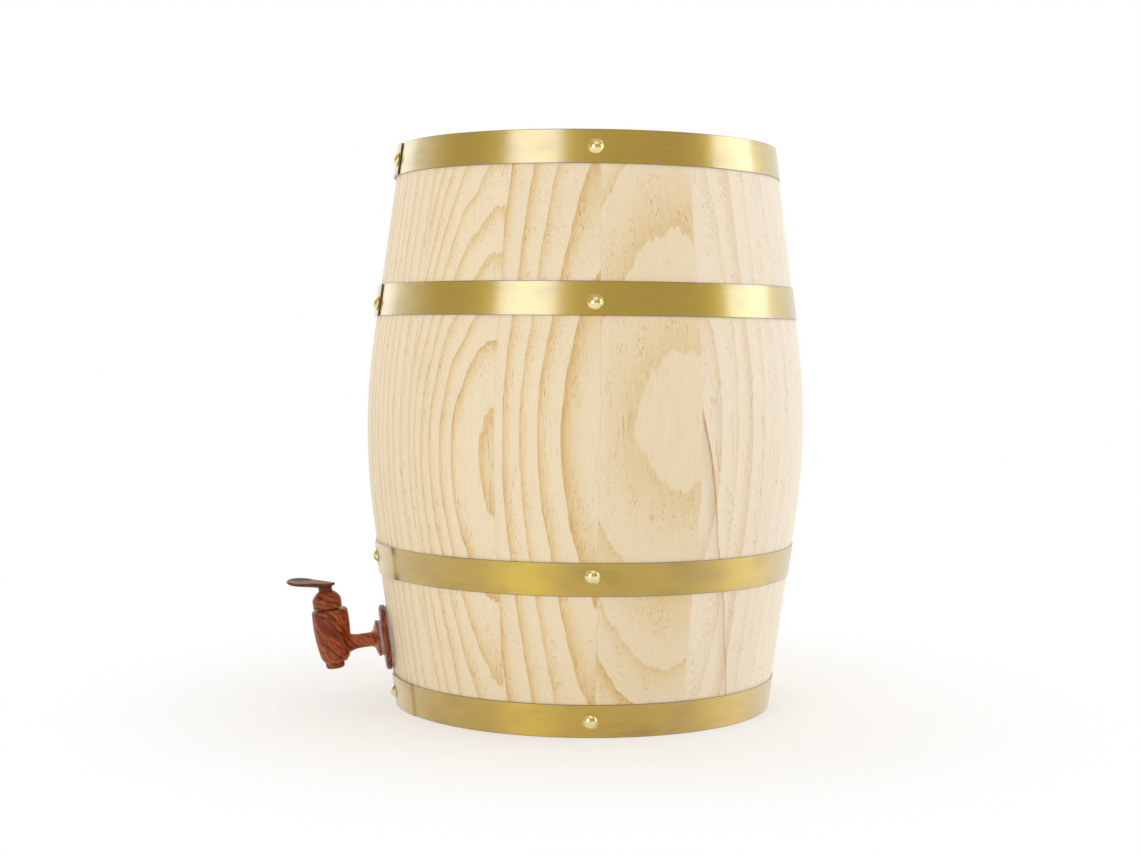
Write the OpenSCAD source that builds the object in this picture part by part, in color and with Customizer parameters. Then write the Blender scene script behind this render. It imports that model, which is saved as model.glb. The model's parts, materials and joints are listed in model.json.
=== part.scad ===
// Small standing wine barrel: pine staves and heads, nailed brass hoops, a turned wooden tap.
// Millimetres, +Z up, origin at the centre of the base, tap towards -X.

/* [Barrel] */
// Height over the ends of the staves
barrel_h = 330; // [275:1:400]
// Outside diameter of the staves at the bilge, the widest belt
bilge_d = 260; // [236:1:312]
// Outside diameter of the staves at both ends
head_d = 222; // [185:1:236]
// Radius of the bilge curve, as a share of one arc that would run from end to end
bilge_curve = 0.52; // [0.3:0.02:0.9]
// Number of staves
stave_count = 14; // [11:1:18]
// Thickness of a stave
stave_t = 13; // [10:0.5:16]
// Angle from the tap to the nearest stave joint
tap_to_joint = 7; // [4:0.5:13]

/* [Heads] */
// Depth of the recess between the stave ends and a head
chime_depth = 12; // [8:0.5:16]
// Height of the bevel inside the stave ends
chime_bevel_h = 8; // [3:0.5:10]
// Width of the bevel inside the stave ends
chime_bevel_w = 5; // [2:0.5:7]
// Thickness of the head boards
head_t = 12; // [9:0.5:15]
// Depth of the groove in the staves that holds a head
groove_depth = 4; // [2.5:0.5:6]
// Thickness of a head's edge, in the groove
tongue_t = 6; // [4:0.5:8]
// Width of the bevel round a head
head_bevel = 9; // [4:0.5:14]
// Boards in a head, an odd number so that one lies in the middle
board_count = 5; // [3:2:7]
// Diameter of the dowels between the boards
dowel_d = 6; // [4:0.5:8]
// Length of the dowels between the boards
dowel_len = 24; // [16:1:30]
// Distance between the two dowels of a board joint
dowel_pitch = 84; // [60:1:100]

/* [Hoops] */
// Width of the brass strip
hoop_w = 18.5; // [14:0.5:24]
// Thickness of the brass strip
hoop_t = 0.7; // [0.5:0.1:1.4]
// Distance from the top to the middle of the upper quarter hoop
upper_hoop_drop = 91; // [60:0.5:110]
// Distance from the base to the middle of the lower quarter hoop
lower_hoop_rise = 88; // [75:0.5:110]
// Length of the lap where a strip overlaps itself
lap_len = 37; // [22:1:45]
// Distance from the lap nail to the outer end of the strip
lap_end = 5; // [4.5:0.5:10]
// Gap between the two layers of the lap
lap_gap = 0.3; // [0.2:0.05:0.6]

/* [Nails] */
// Nails in each hoop, the first through the lap
nail_count = 4; // [3:1:6]
// Angle from the tap to the lap nail
tap_to_nail = 4.9; // [3:0.1:5.5]
// Angle from the lap nail to the next one; the others share the rest of the round evenly
lap_to_nail = 77.9; // [60:0.1:100]
// Diameter of the domed nail heads
nail_head_d = 8.4; // [6:0.2:9]
// Height of the domed nail heads
nail_head_h = 2.7; // [2:0.1:4]
// Diameter of the nail shanks
nail_shank_d = 1.8; // [1.2:0.1:2.4]
// Length of the nail shanks
nail_len = 11; // [7:0.5:13]

/* [Bung] */
// Diameter of the bung hole, at the top of the head
bung_d = 30; // [22:1:34]
// Slope of the bung's side
bung_taper = 3; // [1:0.5:5]
// Length of the bung below the top of the head
bung_len = 17; // [13:0.5:26]
// Diameter of the bung's cap
bung_cap_d = 35; // [30:1:40]
// Height of the bung's cap
bung_cap_h = 9; // [6:0.5:12]

/* [Tap] */
// Gap along the wall between the base hoop and the tap's wall plate
plate_to_hoop = 1.8; // [1:0.1:10]
// Distance from the wall to the axis of the tap's body
tap_reach = 34; // [28:0.5:50]
// Diameter of the shank
shank_d = 8.4; // [7.5:0.1:12]
// Radius of the hollow flare between the shank and the flange
flange_flare = 3; // [1:0.1:4]
// Radius of the hollow flare between the shank and the body
root_flare = 15; // [11:0.5:30]
// Length of the hollow flare between the shank and the body
root_len = 8.5; // [4:0.1:8.6]
// Diameter of the passage through the shank
passage_d = 5.2; // [4:0.1:6]
// Diameter of the shank's threaded tail
tail_d = 10; // [9:0.5:13]
// Diameter of the tap's flange
flange_d = 21.3; // [18:0.1:26]
// Thickness of the flange's rim
flange_t = 2.6; // [1.5:0.1:4]
// Diameter of the tap's body at its widest
tap_body_d = 21.6; // [19.5:0.1:26]
// Distance by which the body's side lies nearer to the wall than the key's axis
body_offset = 0.8; // [0:0.1:1.2]
// Height of the body above the shank's axis
tap_body_up = 21.4; // [17.5:0.1:26]
// Radius of the body's curved side, seen from the front
tap_side_r = 93; // [60:1:200]
// Height of the body's widest place above the shank's axis
tap_belly_up = 13.5; // [6:0.5:17]
// Depth below the shank's axis where the body starts to round in to the spout
tap_foot_down = 3.3; // [1:0.1:6]
// Depth of the body's shoulder, where the spout starts, below the shank's axis
tap_body_down = 9.7; // [9:0.1:14]
// Length of the spout below the shoulder
spout_len = 4; // [2:0.1:10]
// Rounding of the spout's lower edge
spout_round = 1.6; // [0.4:0.1:1.9]
// Outside diameter of the spout
spout_d = 11.2; // [9:0.1:14]
// Diameter of the outlet in the spout
outlet_d = 7; // [5:0.1:8]

/* [Tap key and bonnet] */
// Diameter of the turning key
key_d = 12; // [11:0.1:13]
// Diameter of the key's collar
key_collar_d = 14.8; // [14:0.1:15.4]
// Thickness of the key's collar
key_collar_t = 2.6; // [1.5:0.1:3.2]
// Diameter of the key's stem
stem_d = 6.8; // [5.8:0.1:7.4]
// Side of the square on top of the stem
square_w = 4; // [3:0.1:4.2]
// Diameter of the bonnet
bonnet_d = 17; // [16:0.1:20]
// Height of the bonnet's upright side
bonnet_side_h = 4.7; // [4:0.1:8]
// Height of the bonnet's dome
bonnet_dome_h = 6; // [3:0.1:8]
// Shadow gap between the body and the bonnet
bonnet_gap = 1.3; // [0.4:0.1:1.8]
// Diameter of the bonnet's waist in the shadow gap
waist_d = 13; // [11:0.1:15]
// Length of the bonnet's spigot below the top of the body
spigot_len = 2.7; // [1.5:0.1:3]
// Thickness of the seal ring on the key
ring_t = 1.8; // [1.2:0.1:2]

/* [Lever] */
// Diameter of the lever's neck
neck_d = 8.1; // [7.6:0.1:10]
// Height of the lever above the bonnet
neck_h = 1.8; // [1.4:0.1:9]
// Depth of the neck in the bonnet
neck_depth = 5.5; // [3:0.1:8]
// Hollow flare between the neck and the lever
neck_flare = 0.9; // [0.5:0.1:1.2]
// Length of the lever from its axis to its tip
lever_len = 22; // [17:0.5:40]
// Width of the lever's thumb pad
pad_w = 17; // [11:0.5:20]
// Thickness of the lever
lever_t = 1.8; // [1.6:0.1:4]
// Height of the thumb pad's middle above the lever's root
pad_rise = 3.5; // [0:0.1:5]
// Slope of the thumb pad
pad_slope = 9; // [0:1:15]
// Sideways tilt of the thumb pad
pad_tilt = 6; // [0:1:12]
// Depth of the hollow in the thumb pad
pad_dish = 0.9; // [0.2:0.1:1]
// Width of the hollow in the thumb pad, as a share of the pad
dish_share = 0.8; // [0.5:0.05:0.85]
// Distance from the lever's axis to the end of its tail
lever_tail = 6; // [4.5:0.5:9]
// Width of the tail at its end
lever_tail_d = 3.6; // [2.8:0.1:6]

/* [Wall seals] */
// Diameter of the wooden wall plate
plate_d = 38.6; // [30:0.2:40]
// Thickness of the wall plate
plate_t = 3.2; // [2:0.1:5]
// Diameter of the gasket behind the plate
gasket_d = 36.8; // [28:0.2:38]
// Thickness of the gasket at its middle
gasket_t = 1.2; // [1:0.1:4]
// Diameter of the washer in front of the plate
washer_d = 20.8; // [16:0.2:24]
// Thickness of the washers
washer_t = 1.9; // [1:0.1:3]
// Diameter of the washer inside the barrel
inner_washer_d = 17.4; // [15:0.2:20]
// Width across the flats of the nut inside the barrel
nut_w = 17; // [15:0.5:19]
// Height of the nut
nut_h = 6; // [4:0.5:8]
// Length of the shank's tail beyond the nut
tail_beyond = 3; // [1:0.5:5]

/* [Fits] */
// Gap at each stave joint and board joint
joint_gap = 0.1; // [0.05:0.05:0.3]
// Gap between pieces that are fixed together
seat_gap = 0.05; // [0.02:0.01:0.1]
// Gap at each side of the turning key and of the bung
running_gap = 0.06; // [0.02:0.01:0.1]
// End play of the key, and gap between the lever and the bonnet
end_gap = 0.3; // [0.2:0.05:0.5]

/* [Hidden] */
$fa = 3;
$fs = 0.5;
arc_fn = 720;
hull_fn = 32;
// Length by which a cut runs past a surface, and by which solids that join run into each other
past = 1;
overlap = 0.1;

pine = "#ecd8b0";
pale_pine = "#f1e2c2";
brass = "#b89a48";
bright_brass = "#dcc680";
rosewood = "#80371c";
grey_rubber = "#a39e98";
dark_nylon = "#4a2a1c";

// The side of the barrel: an arc at the bilge runs on, as its tangents, in straight cones
bilge_r = bilge_d / 2;
end_r = head_d / 2;
half_h = barrel_h / 2;
swell = bilge_r - end_r;
arc_r = bilge_curve * (half_h * half_h + swell * swell) / (2 * swell);
arc_x = bilge_r - arc_r;
end_reach = norm([half_h, end_r - arc_x]);
cone_angle = atan2(half_h, end_r - arc_x) - acos(arc_r / end_reach);
arc_half = arc_r * sin(cone_angle);

function wall_angle(z) =
    let (up = z - half_h)
    abs(up) > arc_half ? sign(up) * cone_angle : asin(up / arc_r);
function wall_r(z) =
    let (up = abs(z - half_h))
    up > arc_half
        ? end_r + (half_h - up) * tan(cone_angle)
        : arc_x + sqrt(arc_r * arc_r - up * up);

// Staves
tap_angle = 180;
stave_angle = 360 / stave_count;
first_joint = tap_angle + tap_to_joint;
gap_angle = joint_gap / bilge_r * 180 / PI;
hole_margin = 4;
inner_end_r = end_r - stave_t / cos(cone_angle);
function inner_r(z) = wall_r(z) - stave_t / cos(cone_angle);

// Heads
head_low = [chime_depth, barrel_h - chime_depth - head_t];
groove_low = (head_t - tongue_t) / 2;
groove_r = inner_r(chime_depth) + groove_depth;
tongue_r = groove_r - seat_gap;
tongue_root_r = groove_r - groove_depth - seat_gap;
board_w = 2 * tongue_r / board_count;
middle_board = (board_count - 1) / 2;

// Hoops, from the top down
hoop_mid = [barrel_h - hoop_w / 2, barrel_h - upper_hoop_drop, lower_hoop_rise, hoop_w / 2];
// Which way the outer end of each strip points round the barrel
hoop_turn = [1, 1, -1, -1];
// Distance from the staves to each layer of a strip
layer_low = [seat_gap, seat_gap + hoop_t + lap_gap];
joggle_len = 1.5;
strip_end_gap = 2;
point_room = 1;
lap_angle = tap_angle + tap_to_nail;
next_nail = lap_angle + lap_to_nail;
nail_step = (360 - lap_to_nail) / (nail_count - 1);
nail_angles = [lap_angle, for (n = [0 : nail_count - 2]) next_nail + n * nail_step];
// Height of each hoop's nails above its middle, as they were driven in
nail_rise = [-0.6, -2.5, 2, 0];
nail_z = hoop_mid + nail_rise;

// Tap, measured from the wall outwards and from the shank's axis upwards
tap_z = hoop_w + plate_d / 2 + plate_to_hoop;
plate_x = gasket_t;
washer_x = plate_x + plate_t;
flange_x = washer_x + washer_t;
body_x = tap_reach - body_offset;
tail_len = stave_t + washer_t + nut_h + tail_beyond;
key_floor = 3;
key_low = -tap_body_down + key_floor;
key_high = tap_body_up - spigot_len - end_gap - key_collar_t;
bonnet_top = tap_body_up + bonnet_gap + bonnet_side_h + bonnet_dome_h;
stem_high = bonnet_top - neck_depth;
lever_z = bonnet_top + neck_h;
bonnet_bore_d = neck_d + 2 * end_gap;
ring_z = (key_high + passage_d / 2) / 2;
spigot_d = key_collar_d + 2 * end_gap;
edge_chamfer = 0.8;

// Radius of the tap's body at a height above the shank's axis
function tap_side(up) =
    tap_body_d / 2 - tap_side_r + sqrt(pow(tap_side_r, 2) - pow(up - tap_belly_up, 2));

// Half of the barrel's section, its side moved inwards by inset
module half_section(inset) {
    r = arc_r - inset;
    tangent_r = arc_x + r * cos(cone_angle);
    tangent_z = r * sin(cone_angle);
    top_r = end_r - inset / cos(cone_angle);
    translate([0, half_h]) {
        polygon([
            [0, -half_h], [top_r, -half_h], [tangent_r, -tangent_z],
            [tangent_r, tangent_z], [top_r, half_h], [0, half_h]
        ]);
        intersection() {
            translate([arc_x, 0]) circle(r, $fn = arc_fn);
            translate([0, -tangent_z]) square([bilge_d, 2 * tangent_z]);
        }
    }
}

// Puts children on the wall: their +Z points straight out of it, their -X up along it
module on_wall(angle, z, lift = 0) {
    rotate([0, 0, angle])
        translate([wall_r(z), 0, z])
            rotate([0, 90 - wall_angle(z), 0])
                translate([0, 0, lift]) children();
}

// Puts children at the tap: their +X runs out along the shank, their +Z up along the body
module at_tap(out = 0) {
    rotate([0, 0, tap_angle])
        translate([wall_r(tap_z), 0, tap_z])
            rotate([0, -wall_angle(tap_z), 0])
                translate([out, 0, 0]) children();
}

// A ring or disc round the shank, between two distances from the wall
module shank_disc(d, low, high, bore = 0) {
    translate([low, 0, 0]) rotate([0, 90, 0]) difference() {
        cylinder(d = d, h = high - low);
        if (bore > 0) translate([0, 0, -past]) cylinder(d = bore, h = high - low + 2 * past);
    }
}

module stave_section() {
    difference() {
        half_section(0);
        half_section(stave_t);
        for (low = head_low)
            translate([0, low + groove_low - seat_gap])
                square([groove_r, tongue_t + 2 * seat_gap]);
        for (side = [0, 1])
            translate([0, side * barrel_h]) mirror([0, side])
                polygon([
                    [0, -past], [inner_end_r + chime_bevel_w, -past], [inner_end_r + chime_bevel_w, 0],
                    [inner_r(chime_bevel_h), chime_bevel_h], [0, chime_bevel_h]
                ]);
    }
}

// Whether a hole at an angle may cut the stave that starts at another
function reaches(start, angle) =
    abs((angle - start - stave_angle / 2 + 900) % 360 - 180) < stave_angle / 2 + hole_margin;

// Stave i runs from its joint to the next one
module stave(i) {
    start = first_joint + i * stave_angle;
    color(i % 2 == 0 ? pine : pale_pine)
    difference() {
        rotate([0, 0, start + gap_angle / 2])
            rotate_extrude(angle = stave_angle - gap_angle) stave_section();
        for (z = nail_z, angle = nail_angles)
            if (reaches(start, angle))
                on_wall(angle, z, -nail_len)
                    cylinder(d = nail_shank_d + 2 * seat_gap, h = nail_len + hoop_t);
        if (reaches(start, tap_angle))
            at_tap() shank_disc(tail_d + 2 * seat_gap, -2 * stave_t, stave_t);
    }
}

module head_disc() {
    rotate_extrude() polygon([
        [0, 0], [tongue_root_r - head_bevel, 0], [tongue_root_r, groove_low], [tongue_r, groove_low],
        [tongue_r, head_t - groove_low], [tongue_root_r, head_t - groove_low],
        [tongue_root_r - head_bevel, head_t], [0, head_t]
    ]);
}

// Dowels across the board joints, made longer and thicker by the gap when they cut their holes
module dowels(gap = 0) {
    for (n = [1 : board_count - 1], side = [-1, 1])
        translate([-tongue_r + n * board_w, side * dowel_pitch / 2, head_t / 2])
            rotate([0, 90, 0]) cylinder(d = dowel_d + 2 * gap, h = dowel_len + 2 * gap, center = true);
}

// The bung's side as a cone that narrows downwards from the top of the head
module bung_cone(low, gap) {
    grow = tan(bung_taper);
    translate([0, 0, low])
        cylinder(
            r1 = bung_d / 2 - gap + low * grow,
            r2 = bung_d / 2 - gap + end_gap * grow,
            h = end_gap - low
        );
}

module head_board(i, low) {
    color(i % 2 == 0 ? pale_pine : pine)
    translate([0, 0, low]) difference() {
        intersection() {
            head_disc();
            translate([-tongue_r + i * board_w + joint_gap / 2, -tongue_r - past, -past])
                cube([board_w - joint_gap, 2 * (tongue_r + past), head_t + 2 * past]);
        }
        dowels(seat_gap);
    }
}

module top_board(i) {
    difference() {
        head_board(i, head_low[1]);
        if (i == middle_board)
            translate([0, 0, head_low[1] + head_t]) bung_cone(-head_t - past, 0);
    }
}

module head_dowels(low) {
    color(pale_pine) translate([0, 0, low]) dowels();
}

// Section of a hoop, layer 0 against the staves and layer 1 over the strip's own end
module strip_section(z, low_layer, high_layer) {
    intersection() {
        difference() {
            half_section(-layer_low[high_layer] - hoop_t);
            half_section(-layer_low[low_layer]);
        }
        translate([0, z - hoop_w / 2]) square([bilge_d, hoop_w]);
    }
}

// The strip runs round once against the staves, steps out and laps over its own start
module hoop(i) {
    z = hoop_mid[i];
    degrees_per_mm = 180 / PI / wall_r(z);
    lap = lap_len * degrees_per_mm;
    joggle = joggle_len * degrees_per_mm;
    end_gap_angle = strip_end_gap * degrees_per_mm;
    tongue_end = lap_end * degrees_per_mm;
    color(brass)
    difference() {
        rotate([0, 0, lap_angle])
            mirror([0, hoop_turn[i] < 0 ? 1 : 0, 0]) rotate([0, 0, tongue_end - lap]) {
                rotate_extrude(start = end_gap_angle, angle = 360 - end_gap_angle - joggle / 2)
                    strip_section(z, 0, 0);
                rotate_extrude(start = -joggle, angle = joggle) strip_section(z, 0, 1);
                rotate_extrude(start = -joggle / 2, angle = lap + joggle / 2) strip_section(z, 1, 1);
            }
        for (angle = nail_angles)
            on_wall(angle, nail_z[i], -past)
                cylinder(d = nail_shank_d + 4 * seat_gap, h = 4 * hoop_t + 2 * past);
    }
}

// A domed head on a plain shank with a point, its underside at z = 0
module nail(shank) {
    cap_r = (nail_head_d * nail_head_d / 4 + nail_head_h * nail_head_h) / (2 * nail_head_h);
    point = 2 * nail_shank_d;
    rotate_extrude() {
        intersection() {
            translate([0, nail_head_h - cap_r]) circle(cap_r);
            square([nail_head_d, nail_head_h]);
        }
        polygon([
            [0, 0], [nail_shank_d / 2, 0], [nail_shank_d / 2, point - shank], [0, -shank]
        ]);
    }
}

module hoop_nails(i) {
    color(bright_brass)
    for (n = [0 : nail_count - 1]) {
        under = layer_low[n == 0 ? 1 : 0] + hoop_t + seat_gap;
        on_wall(nail_angles[n], nail_z[i], under) nail(nail_len + under - point_room);
    }
}

module bung() {
    cap_round = bung_cap_h / 3;
    color(pale_pine)
    translate([0, 0, head_low[1] + head_t]) {
        bung_cone(-bung_len, running_gap);
        translate([0, 0, end_gap]) rotate_extrude() {
            square([bung_cap_d / 2 - cap_round, bung_cap_h]);
            square([bung_cap_d / 2, bung_cap_h - cap_round]);
            translate([bung_cap_d / 2 - cap_round, bung_cap_h - cap_round]) circle(cap_round);
        }
    }
}

// Outline of the tap's body, turned about an upright axis: a bellied side over a round foot
module tap_body_section() {
    rim_r = tap_side(tap_body_up);
    intersection() {
        translate([tap_body_d / 2 - tap_side_r, tap_belly_up]) circle(tap_side_r, $fn = arc_fn);
        union() {
            translate([0, -tap_foot_down]) circle(tap_side(-tap_foot_down));
            translate([0, -tap_foot_down]) square([tap_body_d, tap_foot_down + tap_body_up]);
        }
        polygon([
            [0, -tap_body_down], [tap_body_d, -tap_body_down], [tap_body_d, tap_body_up / 2],
            [rim_r + edge_chamfer, tap_body_up - 2 * edge_chamfer],
            [rim_r - edge_chamfer, tap_body_up], [0, tap_body_up]
        ]);
    }
}

// Outline of the spout, turned about the key's axis, with a rounded lower edge
module spout_section() {
    spout_r = spout_d / 2;
    spout_end = -tap_body_down - spout_len;
    translate([0, spout_end + spout_round]) square([spout_r, -spout_end - spout_round]);
    translate([0, spout_end]) square([spout_r - spout_round, -spout_end]);
    translate([spout_r - spout_round, spout_end + spout_round]) circle(spout_round);
}

// Outline of the flange and shank, turned about the shank's axis, with hollow flares at both ends
module shank_section() {
    r = shank_d / 2;
    neck_x = flange_x + flange_t;
    root_r = r + root_flare - sqrt(root_flare * root_flare - root_len * root_len);
    root_x = body_x - sqrt(pow(tap_side(0), 2) - root_r * root_r);
    square([tap_reach, r]);
    translate([flange_x, 0]) square([flange_t / 2, flange_d / 2]);
    polygon([
        [flange_x + flange_t / 2, 0], [neck_x, 0], [neck_x, r + flange_flare],
        [flange_x + flange_t / 2, flange_d / 2]
    ]);
    translate([neck_x, r]) difference() {
        square(flange_flare);
        translate([flange_flare, flange_flare]) circle(flange_flare);
    }
    difference() {
        translate([root_x - root_len, 0]) square([root_len, root_r]);
        translate([root_x - root_len, r + root_flare]) circle(root_flare);
    }
    translate([root_x - overlap, 0]) square([tap_side(0) / 2, root_r]);
}

module tap_body() {
    color(rosewood)
    at_tap() difference() {
        union() {
            translate([body_x, 0, 0]) rotate_extrude() tap_body_section();
            translate([tap_reach, 0, 0]) rotate_extrude() spout_section();
            rotate([0, 90, 0]) rotate_extrude() rotate(90) mirror([0, 1]) shank_section();
            shank_disc(tail_d, -tail_len, flange_x + flange_t / 4);
        }
        shank_disc(passage_d, -tail_len - past, tap_reach);
        translate([tap_reach, 0, 0]) {
            translate([0, 0, key_low]) cylinder(d = key_d + 2 * running_gap, h = key_high - key_low);
            translate([0, 0, key_high - end_gap / 2])
                cylinder(d = spigot_d + 2 * seat_gap, h = tap_body_up);
            translate([0, 0, -tap_body_down - spout_len - past])
                cylinder(d = outlet_d, h = tap_body_down + spout_len);
        }
    }
}

// The key: open below, with one side port that faces sideways while the tap is shut
module tap_key() {
    foot = key_low + end_gap;
    color(dark_nylon)
    at_tap(tap_reach) difference() {
        union() {
            translate([0, 0, foot]) cylinder(d = key_d, h = key_high - foot);
            translate([0, 0, key_high]) cylinder(d = key_collar_d, h = key_collar_t);
            translate([0, 0, key_high]) cylinder(d = stem_d, h = stem_high - key_high);
            translate([0, 0, stem_high])
                linear_extrude(lever_z - stem_high - end_gap) square(square_w, center = true);
        }
        translate([0, 0, foot - past]) cylinder(d = outlet_d, h = passage_d + past - foot);
        rotate([-90, 0, 0]) cylinder(d = passage_d, h = key_d);
        translate([0, 0, ring_z]) rotate_extrude()
            translate([key_d / 2 - ring_t - seat_gap, -ring_t / 2 - seat_gap])
                square([key_d, ring_t + 2 * seat_gap]);
    }
}

module key_seal_ring() {
    color("black")
    at_tap(tap_reach) translate([0, 0, ring_z]) rotate_extrude()
        translate([(key_d - ring_t) / 2, 0]) circle(d = ring_t);
}

// A cap with a domed top, its spigot fixed in the top of the body
module tap_bonnet() {
    r = bonnet_d / 2;
    dome_r = (r * r + bonnet_dome_h * bonnet_dome_h) / (2 * bonnet_dome_h);
    color(rosewood)
    at_tap(tap_reach) difference() {
        union() {
            translate([0, 0, tap_body_up + bonnet_gap]) rotate_extrude() {
                square([r, bonnet_side_h]);
                intersection() {
                    translate([0, bonnet_side_h + bonnet_dome_h - dome_r]) circle(dome_r);
                    translate([0, bonnet_side_h]) square([r, bonnet_dome_h]);
                }
            }
            translate([0, 0, tap_body_up - spigot_len]) {
                cylinder(d = spigot_d, h = spigot_len);
                cylinder(d = waist_d, h = spigot_len + bonnet_gap + bonnet_side_h / 2);
            }
        }
        cylinder(d = stem_d + 2 * running_gap, h = lever_z);
        translate([0, 0, stem_high]) cylinder(d = bonnet_bore_d, h = lever_z);
    }
}

// A disc with a round edge, the end of a stretch of the lever
module lever_disc(d) {
    rotate_extrude($fn = hull_fn) intersection() {
        union() {
            translate([d / 2 - lever_t / 2, 0]) circle(d = lever_t, $fn = hull_fn);
            translate([0, -lever_t / 2]) square([d / 2 - lever_t / 2, lever_t]);
        }
        translate([0, -lever_t]) square([d, 2 * lever_t]);
    }
}

// Tilts children like the thumb pad: up towards the lever's tip and to one side
module on_pad() {
    rotate([0, -pad_slope, 0]) rotate([-pad_tilt, 0, 0]) children();
}

// A neck over the key's square, a thumb pad that slopes up to its tip, and a short tail
module tap_lever() {
    neck_low = stem_high + end_gap;
    pad_x = lever_len - pad_w / 2;
    dish_half = dish_share * pad_w / 2;
    dish_r = (dish_half * dish_half + pad_dish * pad_dish) / (2 * pad_dish);
    root_d = neck_d + 2 * neck_flare + lever_t / 2;
    mid = lever_z + lever_t / 2;
    color(rosewood)
    at_tap(tap_reach) difference() {
        union() {
            translate([0, 0, neck_low]) cylinder(d = neck_d, h = mid - neck_low);
            translate([0, 0, lever_z - neck_flare]) rotate_extrude()
                difference() {
                    square([neck_d / 2 + neck_flare, neck_flare + lever_t / 2]);
                    translate([neck_d / 2 + neck_flare, 0]) circle(neck_flare);
                }
            hull() {
                translate([0, 0, mid]) lever_disc(root_d);
                translate([pad_x, 0, mid + pad_rise]) on_pad() lever_disc(pad_w);
            }
            hull() {
                translate([0, 0, mid]) lever_disc(neck_d);
                translate([lever_tail_d / 2 - lever_tail, 0, mid]) lever_disc(lever_tail_d);
            }
        }
        translate([0, 0, neck_low - past]) linear_extrude(lever_z - neck_low + past)
            square(square_w + 2 * seat_gap, center = true);
        translate([pad_x, 0, mid + pad_rise]) on_pad()
            translate([0, 0, lever_t / 2 - pad_dish + dish_r])
                rotate([90, 0, 0]) sphere(dish_r, $fn = 4 * hull_fn);
    }
}

module flange_washer() {
    color(grey_rubber)
    at_tap() shank_disc(washer_d, washer_x + seat_gap, flange_x - seat_gap, tail_d + 2 * seat_gap);
}

// A thin turned plate with a rounded front edge
module wall_plate() {
    edge = plate_t / 2;
    color(rosewood)
    at_tap() difference() {
        translate([plate_x, 0, 0]) rotate([0, 90, 0]) rotate_extrude() {
            square([plate_d / 2 - edge, plate_t]);
            square([plate_d / 2, plate_t - edge]);
            translate([plate_d / 2 - edge, plate_t - edge]) circle(edge);
        }
        shank_disc(tail_d + 2 * seat_gap, 0, flange_x);
    }
}

// The gasket fills the hollow between the flat plate and the round wall
module wall_gasket() {
    color(grey_rubber)
    difference() {
        at_tap() shank_disc(gasket_d, -stave_t / 2, plate_x - seat_gap, tail_d + 2 * seat_gap);
        rotate_extrude($fn = arc_fn) half_section(-seat_gap);
    }
}

module inner_washer() {
    color(grey_rubber)
    intersection() {
        at_tap() shank_disc(inner_washer_d, -stave_t - washer_t, 0, tail_d + 2 * seat_gap);
        rotate_extrude($fn = arc_fn) half_section(stave_t + seat_gap);
    }
}

// A hexagon nut with its corners turned off
module tap_nut() {
    corner_d = nut_w / cos(30);
    turn_off = (corner_d - nut_w) / 2;
    color(dark_nylon)
    at_tap() translate([-stave_t - washer_t - seat_gap - nut_h, 0, 0]) rotate([0, 90, 0]) difference() {
        intersection() {
            cylinder(d = corner_d, h = nut_h, $fn = 6);
            rotate_extrude() polygon([
                [0, 0], [nut_w / 2, 0], [corner_d / 2, turn_off / 2], [corner_d / 2, nut_h - turn_off / 2],
                [nut_w / 2, nut_h], [0, nut_h]
            ]);
        }
        translate([0, 0, -past]) cylinder(d = tail_d + 2 * seat_gap, h = nut_h + 2 * past);
    }
}

for (i = [0 : stave_count - 1])
    stave(i);
for (i = [0 : board_count - 1])
    top_board(i);
for (i = [0 : board_count - 1])
    head_board(i, head_low[0]);
head_dowels(head_low[1]);  // top_dowels
head_dowels(head_low[0]);  // bottom_dowels
for (i = [0 : len(hoop_mid) - 1])
    hoop(i);
for (i = [0 : len(hoop_mid) - 1])
    hoop_nails(i);
bung();
tap_body();
tap_key();
key_seal_ring();
tap_bonnet();
tap_lever();
flange_washer();
wall_plate();
wall_gasket();
inner_washer();
tap_nut();
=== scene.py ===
"""Looks of a small standing wine barrel: pine staves, nailed brass hoops and a turned wooden tap.

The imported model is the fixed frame. Staves, hoops and nails are surfaces worked out with numpy where the
frame holds them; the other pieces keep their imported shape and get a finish. Lengths are metres unless a
name ends in _mm, +Z is up and the tap points to -X.
"""

import json
import math

import bpy
import numpy as np
from mathutils import Matrix, Vector


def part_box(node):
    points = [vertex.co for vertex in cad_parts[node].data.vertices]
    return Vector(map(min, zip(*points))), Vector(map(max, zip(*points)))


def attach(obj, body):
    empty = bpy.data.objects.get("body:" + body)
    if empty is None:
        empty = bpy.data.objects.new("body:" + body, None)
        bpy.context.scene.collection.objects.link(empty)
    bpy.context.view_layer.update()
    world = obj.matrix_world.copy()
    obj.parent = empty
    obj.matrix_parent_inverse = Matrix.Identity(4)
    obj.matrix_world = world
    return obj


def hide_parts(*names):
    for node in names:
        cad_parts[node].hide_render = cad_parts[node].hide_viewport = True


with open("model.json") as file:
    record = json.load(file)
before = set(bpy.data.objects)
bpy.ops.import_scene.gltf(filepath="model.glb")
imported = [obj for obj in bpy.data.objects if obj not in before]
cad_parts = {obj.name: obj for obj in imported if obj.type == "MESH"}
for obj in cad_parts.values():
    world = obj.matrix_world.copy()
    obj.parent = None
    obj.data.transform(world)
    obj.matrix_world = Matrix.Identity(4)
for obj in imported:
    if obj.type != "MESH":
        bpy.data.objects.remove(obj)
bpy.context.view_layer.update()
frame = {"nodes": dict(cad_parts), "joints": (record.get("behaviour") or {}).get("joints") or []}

bl_info = {
    "name": "Wine Barrel",
    "version": (1, 0, 0),
    "blender": (4, 5, 0),
    "location": "View3D > Sidebar > Barrel",
    "description": "Builds the looks of a pine barrel with brass hoops around its packed model",
    "category": "Add Mesh",
}

MM = 0.001
FULL_TURN = 2 * math.pi


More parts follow.
